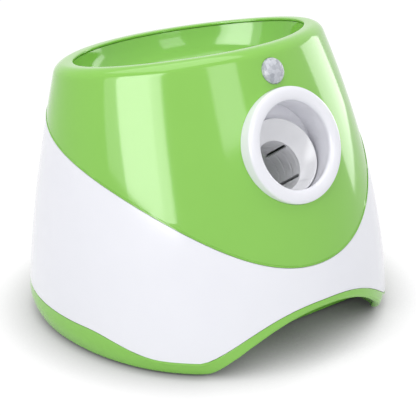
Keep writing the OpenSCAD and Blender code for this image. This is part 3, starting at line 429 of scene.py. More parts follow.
@dataclass
class Skin:
    """The body's outer surface as the CAD has it, in millimetres, with the heights that cut it."""

    side: tuple[float, float, float, float] = (158.6, 126.7, 10.5, -1.2)
    front: tuple[float, float, float, float] = (155.1, 77.8, 15.1, 4.6)
    rear: tuple[float, float, float, float] = (150.9, 126.3, 3.6, 4.4)
    taper: float = 240.0
    rim_front: float = 253.0
    rim_rear: float = 216.4
    rim_w: float = 15.5
    rim_r: float = 8.0
    wall: float = 2.6
    gap: float = 0.4
    nose: tuple[float, float] = (0.0133, -0.0003)
    square: tuple[float, float] = (-0.0166, 0.0148)
    section_top: float = 210.0
    split_line: tuple[float, float, float, float] = (96.7, 200.7, -152.0, 50.5)
    split_from: float = -128.0
    split_run: float = 250.0
    split_round: float = 12.0
    under_rim: float = 18.0
    seam_low: float = 15.5
    seam_nose: tuple[float, float] = (38.0, 41.0)
    seam_rear: tuple[float, float, float] = (13.3, 52.0, 28.0)
    tuck: float = 7.7
    tuck_h: float = 22.0
    floor: float = 1.0
    arch_h: float = 46.7
    arch_w: float = 100.0
    arch_back: float = -91.1
    foot_round: float = 8.0
    foot_slope: float = 0.98

    def reach(self, z: Points, sizes: tuple[float, float, float, float]) -> Points:
        """Bowed reach of one side.

        Args:
            z: Heights.
            sizes: Reach at the floor and at the taper height, the bow, and how it leans.

        Returns:
            The reach at each height.
        """
        low, high, bow, lean = sizes
        t = z / self.taper
        return mix(low, high, t) + 4 * t * (1 - t) * (bow + lean * (1 - 2 * t))

    def point(self, angle: Points, z: Points, inset: Points | float = 0.0) -> Points:
        """Points of the skin.

        Args:
            angle: Degrees from the nose, towards +X.
            z: Heights.
            inset: How far each point is drawn in.

        Returns:
            An array of points, with X, Y and Z last.
        """
        a = np.radians(angle)
        t = z / self.section_top
        nose, square = mix(*self.nose, t), mix(*self.square, t)
        back = self.reach(z, self.rear)
        half_l = (back + self.reach(z, self.front)) / 2 / (1 + square)
        half_w = self.reach(z, self.side) / (1 + square)
        mid = back - half_l * (1 - nose + square)
        swell = 1 + nose * np.cos(3 * a) + square * np.cos(4 * a)
        x = (half_w - inset) * swell * np.sin(a)
        y = mid - (half_l - inset) * swell * np.cos(a)
        return np.stack([x, y, z + 0 * x], -1)

    def settle(
        self,
        angle: Points,
        height: Fit,
        inset: Points | float = 0.0,
        start: float = 150.0,
    ) -> Points:
        """Height at which the skin meets a surface.

        Args:
            angle: Degrees from the nose.
            height: Gives the surface's height for points of the skin.
            inset: How far the skin is drawn in.
            start: Height to start from.

        Returns:
            The heights.
        """
        z = np.full(np.shape(angle), start)
        for _ in range(12):
            z = height(self.point(angle, z, inset))
        return z

    def rim_plane(self, y: Points) -> Points:
        """Height of the rim's tilted plane over y."""
        rear = self.reach(np.array(self.rim_rear), self.rear)
        front = self.reach(np.array(self.rim_front), self.front)
        return self.rim_front + (self.rim_rear - self.rim_front) / (rear + front) * (y + front)

    def rim(self, angle: Points, inset: Points | float, drop: Points | float) -> Points:
        """Height of the rim at an inset, less a drop."""
        return self.settle(angle, lambda p: self.rim_plane(p[..., 1]) - drop, inset, 230.0)

    def split(self, angle: Points) -> Points:
        """Height of the line between the green and the white shell."""

        def line(p: Points) -> Points:
            """Rising line, held below the rim."""
            q = (p[..., 1] - self.split_from) / self.split_run
            rise = sum(part * q**power for power, part in enumerate(self.split_line))
            cap = self.rim_plane(p[..., 1]) - self.under_rim
            return (rise + cap - np.sqrt((rise - cap) ** 2 + self.split_round**2)) / 2

        return self.settle(angle, line, 0.0, 140.0)

    def seam(self, angle: Points) -> Points:
        """Height of the base's top edge."""
        t = np.minimum(np.mod(angle, 360), 360 - np.mod(angle, 360))
        rise, half = self.seam_nose
        climb, start, run = self.seam_rear
        s = np.clip(t / half, 0, 1)
        c = np.clip((t - start) / run, 0, 1)
        return self.seam_low + rise * (1 - s**2.4) ** 1.5 + climb * c * c * (3 - 2 * c)

    def tucked(self, z: Points) -> Points:
        """How far the base draws in at a height."""
        return self.tuck * np.maximum(0, 1 - (z - self.floor) / self.tuck_h) ** 2

    def arch_over(self, x: Points) -> Points:
        """Height of the arch over x, run out in a fillet on both feet."""
        side, turn = np.abs(x), self.foot_round
        arch = self.arch_h * (1 - (np.minimum(side, self.arch_w) / self.arch_w) ** 2.2)
        run = np.maximum(self.arch_w + turn - side, 0.0)
        fillet = self.foot_slope * run**2 / (4 * turn)
        return self.floor + np.where(side > self.arch_w - turn, fillet, arch)

    def arch(self, angle: Points) -> Points:
        """Height of the base's lower edge: the floor, or the arch between the feet."""

        def line(p: Points) -> Points:
            """Arch at the front, the floor elsewhere."""
            return np.where(p[..., 1] < 0, self.arch_over(p[..., 0]), self.floor)

        return self.settle(angle, line, 0.0, 20.0)


SKIN = Skin()

# Origin and rise above level of the ring's, the launch tube's and the lens's axis.
RING_AXIS = ((0.0, -109.092, 178.1), 22.7)
LAUNCH_AXIS = ((0.0, -89.692, 154.1), 35.0)
LENS_AXIS = ((0.0, -80.531, 234.5), 26.3714)


# ---------------------------------------------------------------- mesh helpers


@dataclass
class Shape:
    """Vertices in millimetres and faces, which other shapes can be added to."""

    verts: list[Points] = field(default_factory=list)
    faces: list[tuple[int, ...]] = field(default_factory=list)
    count: int = 0

    def add(self, verts: Points, faces: Sequence[Sequence[int]]) -> "Shape":
        """Adds vertices and the faces that use them.

        Args:
            verts: An array of points.
            faces: Faces by index into it.

        Returns:
            This shape.
        """
        verts = np.asarray(verts, float).reshape(-1, 3)
        self.verts.append(verts)
        self.faces += [tuple(int(i) + self.count for i in f) for f in faces]
        self.count += len(verts)
        return self

    def merge(self, other: "Shape") -> "Shape":
        """Adds another shape to this one."""
        return self.add(np.concatenate(other.verts), other.faces)

    def moved(self, matrix: Matrix) -> "Shape":
        """Gives a copy of this shape, moved by a matrix whose translation is in millimetres."""
        m = np.array(matrix, float)
        points = np.concatenate(self.verts) @ m[:3, :3].T + m[:3, 3]
        return Shape().add(points, self.faces)

    def mesh(self, name: str, smooth_deg: float) -> bpy.types.Mesh:
        """Makes the mesh, smooth except across sharp edges.

        Args:
            name: The mesh's name.
            smooth_deg: Edges that turn by more than this stay sharp.

        Returns:
            The new mesh, in metres.
        """
        mesh = bpy.data.meshes.new(name)
        mesh.from_pydata((np.concatenate(self.verts) * MM).tolist(), [], self.faces)
        work = bmesh.new()
        work.from_mesh(mesh)
        bmesh.ops.remove_doubles(work, verts=work.verts, dist=2e-6)
        for face in work.faces:
            face.smooth = True
        for edge in work.edges:
            if len(edge.link_faces) == 2 and edge.calc_face_angle(0.0) > math.radians(smooth_deg):
                edge.smooth = False
        work.to_mesh(mesh)
        work.free()
        return mesh


def grid_faces(rows: int, columns: int) -> np.ndarray:
    """Quads of a grid of points whose last column joins the first.

    Args:
        rows: Rows of points.
        columns: Columns of points.

    Returns:
        An array of rows - 1 by columns by 4 indices.
    """
    i = np.arange(rows - 1)[:, None]
    j = np.arange(columns)[None, :]
    k = (j + 1) % columns
    return np.stack([i * columns + j, i * columns + k, (i + 1) * columns + k, (i + 1) * columns + j], -1)


def normals_of(grid: Points) -> Points:
    """Unit normals of a closed grid of points, to the side that its quads face.

    Args:
        grid: Points by row and column.

    Returns:
        One normal for each point.
    """
    across = np.roll(grid, -1, 1) - np.roll(grid, 1, 1)
    up = np.gradient(grid, axis=0)
    n = np.cross(across, up)
    return n / np.maximum(np.linalg.norm(n, axis=-1, keepdims=True), 1e-9)


def thick_sheet(grid: Points, thickness: float, keep: np.ndarray | None = None) -> Shape:
    """A closed wall from a grid of points.

    Args:
        grid: Points of the shown side, by row and column.
        thickness: How far behind it the other side lies.
        keep: Which quads stay; all of them if left out.

    Returns:
        The wall, with its edges closed.
    """
    rows, columns = grid.shape[:2]
    quads = grid_faces(rows, columns)
    keep = np.ones(quads.shape[:2], bool) if keep is None else keep
    shown = quads[keep]
    n = rows * columns
    behind = grid - normals_of(grid) * thickness
    ends = np.stack([shown, np.roll(shown, -1, 1)], -1).reshape(-1, 2)
    codes = ends[:, 0].astype(np.int64) * n + ends[:, 1]
    back_codes = ends[:, 1].astype(np.int64) * n + ends[:, 0]
    open_ends = ends[~np.isin(codes, back_codes)]
    sides = np.stack([open_ends[:, 1], open_ends[:, 0], open_ends[:, 0] + n, open_ends[:, 1] + n], -1)
    used = np.unique(np.concatenate([shown.ravel(), shown.ravel() + n]))
    index = np.full(2 * n, -1)
    index[used] = np.arange(len(used))
    faces = index[np.concatenate([shown, shown[:, ::-1] + n, sides])]
    points = np.concatenate([grid.reshape(-1, 3), behind.reshape(-1, 3)])[used]
    return Shape().add(points, faces.tolist())


def tube_shape(rings: Points) -> Shape:
    """A skin over rings of points.

    Args:
        rings: Points by ring and place round it.

    Returns:
        The shape; rings that turn anticlockwise as they rise face outwards.
    """
    rows, columns = rings.shape[:2]
    return Shape().add(rings, grid_faces(rows, columns).reshape(-1, 4).tolist())


def revolve(profile: Sequence[tuple[float, float]], steps: int = 96) -> Shape:
    """Turns a profile of radius and height about Z.

    Args:
        profile: Points, with the height rising where the surface faces outwards.
        steps: Places round the axis.

    Returns:
        The shape; ends on the axis close it.
    """
    r, z = np.array(profile).T
    a = np.linspace(0, 2 * np.pi, steps, endpoint=False)
    rings = np.stack([r[:, None] * np.cos(a), r[:, None] * np.sin(a), z[:, None] + 0 * a], -1)
    return tube_shape(rings)


def cut_hole(
    angle: Points,
    z: Points,
    place: Callable[[Points, Points], Points],
    inside: Fit,
) -> tuple[Points, np.ndarray]:
    """Opens a clean hole in a surface that is a function of two numbers.

    Args:
        angle: First number of each grid point.
        z: Second number of each grid point.
        place: Gives the surface's points for the two numbers.
        inside: Gives a distance to the hole's edge, below zero inside it, for points.

    Returns:
        The points, with those beside the hole's edge moved onto it, and which quads stay.
    """
    u, v, step = angle.copy(), z.copy(), 0.05
    points = place(u, v)
    depth = inside(points)
    within = depth < 0
    near = np.zeros_like(within)
    for down in (-1, 0, 1):
        for along in (-1, 0, 1):
            near |= np.roll(~within, (down, along), (0, 1))
    edge = within & near
    for _ in range(8):
        p = place(u, v)
        d = inside(p)
        du = (inside(place(u + step, v)) - d) / step
        dv = (inside(place(u, v + step)) - d) / step
        size = np.maximum(du * du + dv * dv, 1e-9)
        u = np.where(edge, u - d * du / size, u)
        v = np.where(edge, v - d * dv / size, v)
    points = place(u, v)
    deep = within & ~edge
    rows, columns = within.shape
    quads = grid_faces(rows, columns)
    keep = ~(deep.ravel()[quads].any(-1) | within.ravel()[quads].all(-1))
    return points, keep


def new_growth(
    name: str, numbers: Sequence[str], vectors: Sequence[str] = ()
) -> tuple[bpy.types.GeometryNodeTree, dict[str, bpy.types.NodeSocket]]:
    """Starts a Geometry Nodes tree with named inputs.

    Args:
        name: The tree's name.
        numbers: Names of its number inputs.
        vectors: Names of its vector inputs.

    Returns:
        The tree, and each input's socket by name, with the geometry, the seed and the material.
    """
    tree = bpy.data.node_groups.new(name, "GeometryNodeTree")
    kinds = {"Geometry": "NodeSocketGeometry"} | {n: "NodeSocketFloat" for n in numbers} | {
        v: "NodeSocketVector" for v in vectors
    }
    kinds["Material"] = "NodeSocketMaterial"
    for label, kind in kinds.items():
        tree.interface.new_socket(label, in_out="INPUT", socket_type=kind)
    tree.interface.new_socket("Geometry", in_out="OUTPUT", socket_type="NodeSocketGeometry")
    given = add_node(tree, "NodeGroupInput")
    return tree, {label: given.outputs[label] for label in kinds}


def end_growth(
    tree: bpy.types.GeometryNodeTree,
    given: dict[str, bpy.types.NodeSocket],
    shape: bpy.types.NodeSocket,
) -> None:
    """Ends a tree: instances made real, shaded smooth, and given the material."""
    real = add_node(tree, "GeometryNodeRealizeInstances", {"Geometry": shape})
    smooth = add_node(tree, "GeometryNodeSetShadeSmooth", {"Geometry": real.outputs[0]})
    dressed = add_node(
        tree, "GeometryNodeSetMaterial", {"Geometry": smooth.outputs[0], "Material": given["Material"]}
    )
    add_node(tree, "NodeGroupOutput", {0: dressed.outputs[0]})


def grown(
    name: str,
    tree: bpy.types.GeometryNodeTree,
    values: dict[str, Any],
    finish: Finish,
    places: Sequence[Any],
) -> bpy.types.Mesh:
    """Runs a tree on points and gives its plain mesh.

    Args:
        name: The mesh's name.
        tree: The tree, with a Material input.
        values: Input names to values, in millimetres.
        finish: The finish that it is given.
        places: Points that the tree's geometry input holds.

    Returns:
        The mesh, in millimetres, with its sharp edges marked.
    """
    seed = bpy.data.meshes.new(f"{name}_places")
    seed.from_pydata([tuple(p) for p in places], [], [])
    holder = bpy.data.objects.new(f"{name}_holder", seed)
    bpy.context.scene.collection.objects.link(holder)
    modifier = holder.modifiers.new(tree.name, "NODES")
    modifier.node_group = tree
    ids = {item.name: item.identifier for item in tree.interface.items_tree if item.in_out == "INPUT"}
    for label, value in (values | {"Material": FINISHES.of(finish)}).items():
        modifier[ids[label]] = value
    ready = holder.evaluated_get(bpy.context.evaluated_depsgraph_get())
    mesh = bpy.data.meshes.new_from_object(ready)
    holder.modifiers.remove(modifier)
    bpy.data.objects.remove(holder)
    mesh.name = name
    work = bmesh.new()
    work.from_mesh(mesh)
    for edge in work.edges:
        if len(edge.link_faces) == 2 and edge.calc_face_angle(0.0) > math.radians(35):
            edge.smooth = False
    work.to_mesh(mesh)
    work.free()
    return mesh


def islands(node: bpy.types.Object) -> list[Points]:
    """Vertices of each separate solid of a CAD node, in millimetres."""
    work = bmesh.new()
    work.from_mesh(node.data)
    bmesh.ops.remove_doubles(work, verts=work.verts, dist=1e-5)
    left, found = set(work.verts), []
    while left:
        reached, front = set(), [min(left, key=lambda v: v.index)]
        while front:
            vert = front.pop()
            if vert in reached:
                continue
            reached.add(vert)
            front += [edge.other_vert(vert) for edge in vert.link_edges]
        left -= reached
        found.append(np.array([v.co for v in reached]) / MM)
    work.free()
    return found


# ---------------------------------------------------------------- pieces of the object


@dataclass
class Maker:
    """Turns shapes into pieces that ride on the housing."""

    frame: dict[str, Any]
    body: str = "housing"
    made: list[str] = field(default_factory=list)

    def piece(
        self, name: str, mesh: bpy.types.Mesh, finish: Finish, slot: Slot, stands_for: Sequence[str]
    ) -> bpy.types.Object:
        """Adds a finished mesh as a piece.

        Args:
            name: The piece's name.
            mesh: Its mesh, in place, in metres.
            finish: Its finish.
            slot: The record's material slot; not used.
            stands_for: CAD nodes that it replaces.

        Returns:
            The new object.
        """
        mesh.materials.clear()
        mesh.materials.append(FINISHES.of(finish))
        piece = bpy.data.objects.new(name, mesh)
        bpy.context.scene.collection.objects.link(piece)
        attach(piece, self.body)
        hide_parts(*stands_for)
        self.made.append(name)
        LOG.info("%s: %d faces", name, len(mesh.polygons))
        return piece

    def mould(self, node: str, shape: Shape, finish: Finish, slot: Slot, smooth_deg: float = 35.0) -> None:
        """Adds a moulding in place of a CAD node.

        Args:
            node: The CAD node that it replaces.
            shape: The moulding's shape.
            finish: Its finish.
            slot: The record's material slot.
            smooth_deg: Edges that turn by more than this stay sharp.
        """
        name = f"{node}_moulding"
        self.piece(name, shape.mesh(name, smooth_deg), finish, slot, [node])

    def core(self, node: str, cover: Shape, sink: float = 1.0, reach: float = 0.8) -> Shape:
        """Copies a CAD node's solid, sunk below the fine wall that covers it.

        Args:
            node: The CAD node.
            cover: The fine shape that lies over it.
            sink: How far covered vertices move in, in millimetres.
            reach: How near the cover a vertex counts as covered.

        Returns:
            The copied shape.
        """
        source = self.frame["nodes"][node].data
        work = bmesh.new()
        work.from_mesh(source)
        bmesh.ops.remove_doubles(work, verts=work.verts, dist=1e-5)
        tree = BVHTree.FromPolygons([Vector(p) for p in np.concatenate(cover.verts)], cover.faces)
        for vert in work.verts:
            spot, normal, _, distance = tree.find_nearest(vert.co / MM)
            if spot is not None and distance < reach:
                vert.co -= normal * sink * MM
        work.verts.index_update()
        points = np.array([v.co for v in work.verts]) / MM
        faces = [[v.index for v in f.verts] for f in work.faces]
        work.free()
        return Shape().add(points, faces)


def columns_of(dense_half: float = 34.0, fine: float = 1.1, coarse: float = 2.4) -> Points:
    """Angles of the body's columns: close together over the nose, wider elsewhere.

    Args:
        dense_half: Half of the closely spaced arc, in degrees.
        fine: Spacing over the nose.
        coarse: Spacing elsewhere.

    Returns:
        The angles, from -180 to 180.
    """
    front = np.linspace(-dense_half, dense_half, round(2 * dense_half / fine) + 1)
    side = np.linspace(dense_half, 180, round((180 - dense_half) / coarse) + 1)[1:]
    return np.concatenate([-side[::-1][1:], front, side])


def frame_of(origin: Sequence[float], tilt_deg: float) -> Matrix:
    """Frame whose +Z points out of the front and whose +Y is up.

    Args:
        origin: Its origin, in millimetres.
        tilt_deg: How far its +Z points above level.

    Returns:
        The frame's matrix.
    """
    return Matrix.Translation(Vector(origin)) @ Matrix.Rotation(math.radians(90 - tilt_deg), 4, "X")


def into(matrix: Matrix, points: Points) -> Points:
    """Gives points in a frame's own coordinates."""
    m = np.array(matrix.inverted(), float)
    return points @ m[:3, :3].T + m[:3, 3]


@dataclass
class Shells:
    """Green upper shell, white lower shell, green base and bowl."""

    maker: Maker
    ring: Matrix
    lens: Matrix
    ring_hole: float = 48.85
    lens_hole: float = 11.3
    wall_rows: int = 64
    sheet: float = 1.5
    dish: float = 2.2
    edge_turn: tuple[tuple[float, float], ...] = ((0.1, 0.45), (0.02, 0.15))
    throat: tuple[float, float, float] = (24.0, -20.0, 171.0)
    rear_from: float = 164.4
    window_half: tuple[float, float] = (30.3, 23.3)
    window_z: float = 78.0
    window_round: float = 1.0

    def build(self) -> None:
        """Makes the four shells."""
        self.upper()
        self.lower()
        self.base()
        self.bowl()

    def upper(self) -> None:
        """Makes the upper shell: the wall with its two holes, the rolled rim and the lip."""
        a = columns_of()
        low, top = SKIN.split(a) + SKIN.gap / 2, SKIN.rim(a, 0.0, SKIN.rim_r)
        t = np.linspace(0, 1, self.wall_rows)[:, None]
        points, keep = cut_hole(a + 0 * t, mix(low, top, t), SKIN.point, self.front_holes)
        rows = [*self.edge(a, low, 1), points]
        turns = np.radians(np.linspace(0, 90, 13)[1:])
        roll = [(SKIN.rim_r * (1 - math.cos(turn)), SKIN.rim_r * (1 - math.sin(turn))) for turn in turns]
        lip = [(10.5, -0.05), (13.0, 0.0), (14.4, 0.15), (15.1, 0.5), (15.5, 1.1), (15.5, 2.4)]
        rows += [SKIN.point(a, SKIN.rim(a, inset, drop), inset)[None] for inset, drop in roll + lip]
        shape = self.opened(rows, keep)
        self.finish("upper_shell", shape, GREEN_ABS, Slot.GREEN)

    def edge(self, angle: Points, z: Points, side: int) -> list[Points]:
        """Rows of a wall's slightly rounded edge.

        Args:
            angle: Degrees from the nose.
            z: Heights of the edge.
            side: 1 for a lower edge and -1 for an upper one.

        Returns:
            The rows, from the bottom up.
        """
        rows = [SKIN.point(angle, z + side * up, inset)[None] for up, inset in self.edge_turn]
        return rows[::side]

    def opened(self, rows: Sequence[Points], keep: np.ndarray) -> Shape:
        """Makes a wall with holes.

        Args:
            rows: Its rows of points, with the lower edge's first.
            keep: Which quads stay above that edge.

        Returns:
            The wall.
        """
        grid, first = np.concatenate(rows), len(self.edge_turn)
        full = np.ones((len(grid) - 1, grid.shape[1]), bool)
        full[first : first + len(keep)] = keep
        return thick_sheet(grid, self.sheet, full)

    def hole(self, frame: Matrix, points: Points, radius: float) -> Points:
        """Distance to a round hole's edge, below zero inside it, and far away behind the frame."""
        local = into(frame, points)
        away = np.hypot(local[..., 0], local[..., 1]) - radius
        return np.where(np.abs(local[..., 2]) < 60, away, 1e3)

    def front_holes(self, points: Points) -> Points:
        """Distance to the edge of the ring's or the lens's hole, whichever is nearer."""
        ring = self.hole(self.ring, points, self.ring_hole)
        return np.minimum(ring, self.hole(self.lens, points, self.lens_hole))

    def window(self, points: Points) -> Points:
        """Distance to the control panel's window, below zero inside it, and far away at the front."""
        across = np.abs(points[..., 0]) - self.window_half[0] + self.window_round
        up = np.abs(points[..., 2] - self.window_z) - self.window_half[1] + self.window_round
        beyond = np.hypot(np.maximum(across, 0), np.maximum(up, 0))
        away = beyond + np.minimum(np.maximum(across, up), 0) - self.window_round
        return np.where(points[..., 1] > 0, away, 1e3)

    def lower(self) -> None:
        """Makes the lower shell: the white wall between the base and the split line."""
        rear = np.arange(self.rear_from, 180.0, 0.6)
        a = columns_of()
        a = np.sort(np.concatenate([a[np.abs(a) < self.rear_from - 1], rear, -rear, [180.0]]))
        low, top = SKIN.seam(a) + SKIN.gap / 2, SKIN.split(a) - SKIN.gap / 2
        t = np.linspace(0, 1, 60)[:, None]
        wall, keep = cut_hole(a + 0 * t, mix(low + 0.2, top - 0.2, t), SKIN.point, self.window)
        shape = self.opened([*self.edge(a, low, 1), wall, *self.edge(a, top, -1)], keep)
        self.finish("lower_shell", shape, WHITE_ABS, Slot.WHITE)

    def base(self) -> None:
        """Makes the base: the green skirt with its arch, over the CAD's floor and posts."""
        a = columns_of(44.0, 0.8, 2.4)
        low, top = SKIN.arch(a), SKIN.seam(a) - SKIN.gap / 2
        t = np.linspace(0, 1, 30)[:, None] ** 1.3
        z = mix(low + 2.9, top - 0.2, t)
        hem = [(5.5, 7.4), (2.4, 7.2), (1.1, 6.7), (0.35, 5.7), (0.0, 4.4)]
        hem += [(0.0, 3.1), (0.3, 1.75), (0.95, 0.8), (1.8, 0.25)]
        rows = [SKIN.point(a, low + up, inset + SKIN.tucked(low + up))[None] for up, inset in hem]
        rows += [SKIN.point(a + 0 * t, z, SKIN.tucked(z)), *self.edge(a, top, -1)]
        shape = thick_sheet(np.concatenate(rows), self.sheet)
        self.finish("base", shape, GREEN_ABS, Slot.GREEN, self.soffit)

    def soffit(self, points: Points) -> Points:
        """Lifts the core's arch to the softened one and draws its tabs in behind the fine wall.

        Args:
            points: The core's points.

        Returns:
            The moved points.
        """
        x, y, z = points.T
        arch = SKIN.arch_over(x) + 0.05
        z = np.where((y < SKIN.arch_back + 0.2) & (z < arch), arch, z)
        bearing = np.degrees(np.arctan2(x, -y))
        angle = bearing
        for _ in range(5):
            edge = SKIN.point(angle, z, SKIN.tucked(z) + 1.0)
            angle = angle + bearing - np.degrees(np.arctan2(edge[:, 0], -edge[:, 1]))
        pull = np.minimum(1.0, np.hypot(edge[:, 0], edge[:, 1]) / np.maximum(np.hypot(x, y), 1.0))
        return np.stack([x * pull, y * pull, z], -1)

    def bowl(self) -> None:
        """Makes the bowl: a smooth dish from the lip to the ball hole."""
        a = columns_of(30.0, 2.4, 2.4)
        s = np.linspace(0, 1, 46)
        knots = [[0, 0.03, 0.08, 0.16, 0.3, 0.5, 0.75, 1], [0, 0.2, 0.4, 0.58, 0.74, 0.86, 0.95, 1]]
        along = np.concatenate([[0], np.cumsum(np.hypot(*np.diff(knots)))])
        h, g = (self.eased(s, along / along[-1], np.array(values)) for values in knots)
        lip = SKIN.point(a, SKIN.rim(a, SKIN.rim_w, SKIN.wall + 0.3), SKIN.rim_w)
        r, y, z = self.throat
        end = np.stack([r * np.sin(np.radians(a)), y - r * np.cos(np.radians(a)), z + 0 * a], -1)
        brim = SKIN.point(a, SKIN.rim(a, 11.6, SKIN.wall + 0.3), 11.6)
        inward = mix(lip[:, :2], end[:, :2], h[1:, None, None])
        down = mix(lip[:, 2:], end[:, 2:], g[1:, None, None])
        dish = np.concatenate([inward, down], -1)
        shape = thick_sheet(np.concatenate([brim[None], lip[None] - (0, 0, 0.05), dish]), self.dish)
        self.maker.mould("hopper_bowl", shape, GREEN_ABS, Slot.GREEN, 50.0)

    def eased(self, s: Points, at: Points, value: Points) -> Points:
        """Smooth curve through knots: the average of straight runs over a short window."""
        wide = 0.05
        near_end = np.minimum(1, np.minimum(s, 1 - s) / wide)
        shifts = np.linspace(-wide, wide, 9)
        return np.mean([np.interp(np.clip(s + w * near_end, 0, 1), at, value) for w in shifts], 0)

    def finish(self, node: str, wall: Shape, finish: Finish, slot: Slot, fit: Fit | None = None) -> None:
        """Adds a shell's fine wall together with its CAD core.

        Args:
            node: The CAD node that it covers.
            wall: The fine wall.
            finish: The piece's finish.
            slot: The record's material slot.
            fit: Moves the core's points to suit the fine wall.
        """
        core = self.maker.core(node, wall, reach=0.8 if fit is None else 3.2)
        if fit is not None:
            core = Shape().add(fit(np.concatenate(core.verts)), core.faces)
        self.maker.mould(node, wall.merge(core), finish, slot)


@dataclass
class Nozzle:
    """White ring with its flared tube, and the launch tube with its cup."""

    maker: Maker
    ring: Matrix
    launch: Matrix
    ring_r: float = 48.7
    open_r: float = 37.0
    ring_t: float = 3.6
    ring_back: float = -13.0
    tube_r: float = 22.0
    tube_wall: float = 2.4
    tube_len: float = 165.0
    hole_r: float = 22.0
    cup: tuple[float, float, float] = (34.3, 32.07, 5.4)
    cup_depth: float = 9.0
    slots: tuple[float, float] = (42.0, -34.0)
    tilt: float = 35.0
    slot_w: float = 3.2
    slot_run: tuple[float, float] = (2.5, 141.5)
    web_half: float = 3.35
    web_from: float = 58.0
    rail: tuple[float, float] = (13.2, 16.9)
    seat: float = 48.5
    chute_lean: float = 35.364
    chute_r: float = 22.6

    def build(self) -> None:
        """Makes the ring and the launch tube."""
        self.ring_piece()
        self.tube_piece()

    def ring_piece(self) -> None:
        """Makes the ring as one closed skin: outer wall, rounded face, rolled lip and oblique tube."""
        steps = 160
        a = np.linspace(0, 2 * np.pi, steps, endpoint=False)
        mid, half = (self.ring_r + self.open_r) / 2, (self.ring_r - self.open_r) / 2
        back, inside = self.ring_back, self.ring_r - 2
        rows = [
            (inside, 0, back),
            (self.ring_r - 0.3, 0, back),
            (self.ring_r, 0, back + 0.3),
            (self.ring_r, 0, -4),
        ]
        for turn in np.linspace(0, math.pi, 25):
            c, s = math.cos(turn), math.sin(turn)
            rows.append((mid + half * np.sign(c) * abs(c) ** 0.9, 0, self.ring_t * s**0.85))
        inner = [(0, 0.15, 0), (2, 0.5, 0), (4, 1.1, -0.4), (7, 1.8, -1.0)]
        inner += [(10, 2.4, -1.6), (16, 2.9, -2.2), (22, 3.4, -2.7), (28, 3.9, -3.2)]
        rows += [(self.open_r + grow, shift, -depth) for depth, grow, shift in inner[1:]]
        apron = len(rows)
        rows += [(self.open_r + grow + 1.6, shift, -depth) for depth, grow, shift in inner[:2:-1]]
        rows += [(self.open_r + 3.5, 0, -3.2), (inside, 0, -3.2), (inside, 0, back)]
        rings = self.hoops(a, [(r, r, y, z) for r, y, z in rows])
        collar = [self.collar(a, back) for back in (3.0, 4.6)]
        turn = mix(rings[apron - 1], collar[0], 0.12)
        rings = np.concatenate([rings[:apron], np.stack([turn, *collar]), rings[apron:]])
        shape = tube_shape(rings).moved(self.ring)
        self.maker.mould("nozzle_ring", shape, WHITE_ABS, Slot.WHITE)

    def hoops(self, a: Points, rows: Sequence[tuple[float, float, float, float]]) -> Points:
        """Ellipses square to the axis.

        Args:
            a: Angles round the axis.
            rows: Half width, half height, shift upwards and place along the axis of each.

        Returns:
            Their points, by ellipse and angle.
        """
        return np.stack([np.stack([w * np.sin(a), y - h * np.cos(a), z + 0 * a], -1) for w, h, y, z in rows])

    def collar(self, a: Points, back: float) -> Points:
        """Circle round the launch tube behind its mouth, in the ring's frame.

        Args:
            a: Angles round the axis.
            back: How far behind the mouth it lies.

        Returns:
            Its points.
        """
        r = self.tube_r + self.tube_wall - 0.3
        return into(self.launch.inverted() @ self.ring, self.hoops(a, [(r, r, 0.0, -back)])[0])

    def tube_piece(self) -> None:
        """Makes the launch tube: dished cup, fluted bore with its slots and opening, and the CAD's rails."""
        tube = self.cup_shape().moved(self.launch)
        tube.merge(self.bore_shape().moved(self.launch))
        tube.merge(self.only_rails(self.maker.core("launch_tube", tube, 0.0, 0.0)))
        self.maker.mould("launch_tube", tube, TUBE_ABS, Slot.WHITE)

    def only_rails(self, shape: Shape) -> Shape:
        """Keeps the faces of the CAD tube that hang below its wall: the side rails."""
        points = np.concatenate(shape.verts)
        local = into(self.launch, points)
        rail = (local[:, 1] < -self.rail[1]) & (np.abs(points[:, 0]) > self.rail[0])
        faces = [f for f in shape.faces if all(rail[i] for i in f)]
        return Shape().add(points, faces)

    def cup_shape(self) -> Shape:
        """Makes the cup: a shallow oval dish with a rounded lip, and its back."""
        a = np.linspace(0, 2 * np.pi, 160, endpoint=False)
        wide, tall, rise = self.cup
        hole = self.hole_r

        def oval(t: float, thick: float, lift: float) -> tuple[float, float, float, float]:
            """Section of the dish between the hole and the mouth."""
            return mix(hole, wide, t) + thick, mix(hole, tall, t) + thick, rise * t, self.cup_depth * t + lift

        rows = [oval(t, 0.0, -1.1 * math.sin(math.pi * t)) for t in np.linspace(0, 1, 15)]
        lip = [(0.25, 0.35), (0.7, 0.55), (1.2, 0.35), (1.5, -0.1)]
        rows += [oval(1.0, thick, lift) for thick, lift in lip]
        rows += [oval(t, 1.6, -1.3) for t in np.linspace(0.94, 0.1, 8)]
        rows += [(hole + 2.4, hole + 2.4, 0, -2.0), (hole, hole, 0, -2.0), (hole, hole, 0, 0)]
        return tube_shape(self.hoops(a, rows[::-1]))

    def bore_shape(self) -> Shape:
        """Makes the fluted bore as a wall with its four guide slots, bottom slot and ball opening."""
        slot_half = math.degrees(self.slot_w / 2 / self.tube_r)
        centres = (*self.slots, *(180 - slot for slot in self.slots))
        edges = [centre + side * slot_half for centre in centres for side in (-1, 1)]
        bottom = math.degrees(math.asin(self.web_half / self.tube_r))
        far = self.slot_run[1]
        edges += [-90 - bottom, -90 + bottom]
        edges = sorted(e % 360 for e in edges)
        round_angles: list[float] = []
        for low, high in zip(edges, edges[1:] + [edges[0] + 360]):
            steps = max(1, round((high - low) / 2.5))
            round_angles += [low + (high - low) * k / steps for k in range(steps)]
        u = np.array(round_angles)
        fluted, plain = np.linspace(0.4, 40, 100), np.linspace(88, self.tube_len, 24)
        ends = [*self.slot_run, self.web_from]
        s = np.unique(np.concatenate([fluted, np.linspace(40, 88, 33), plain, ends]))
        angle, depth = np.meshgrid(u, s)

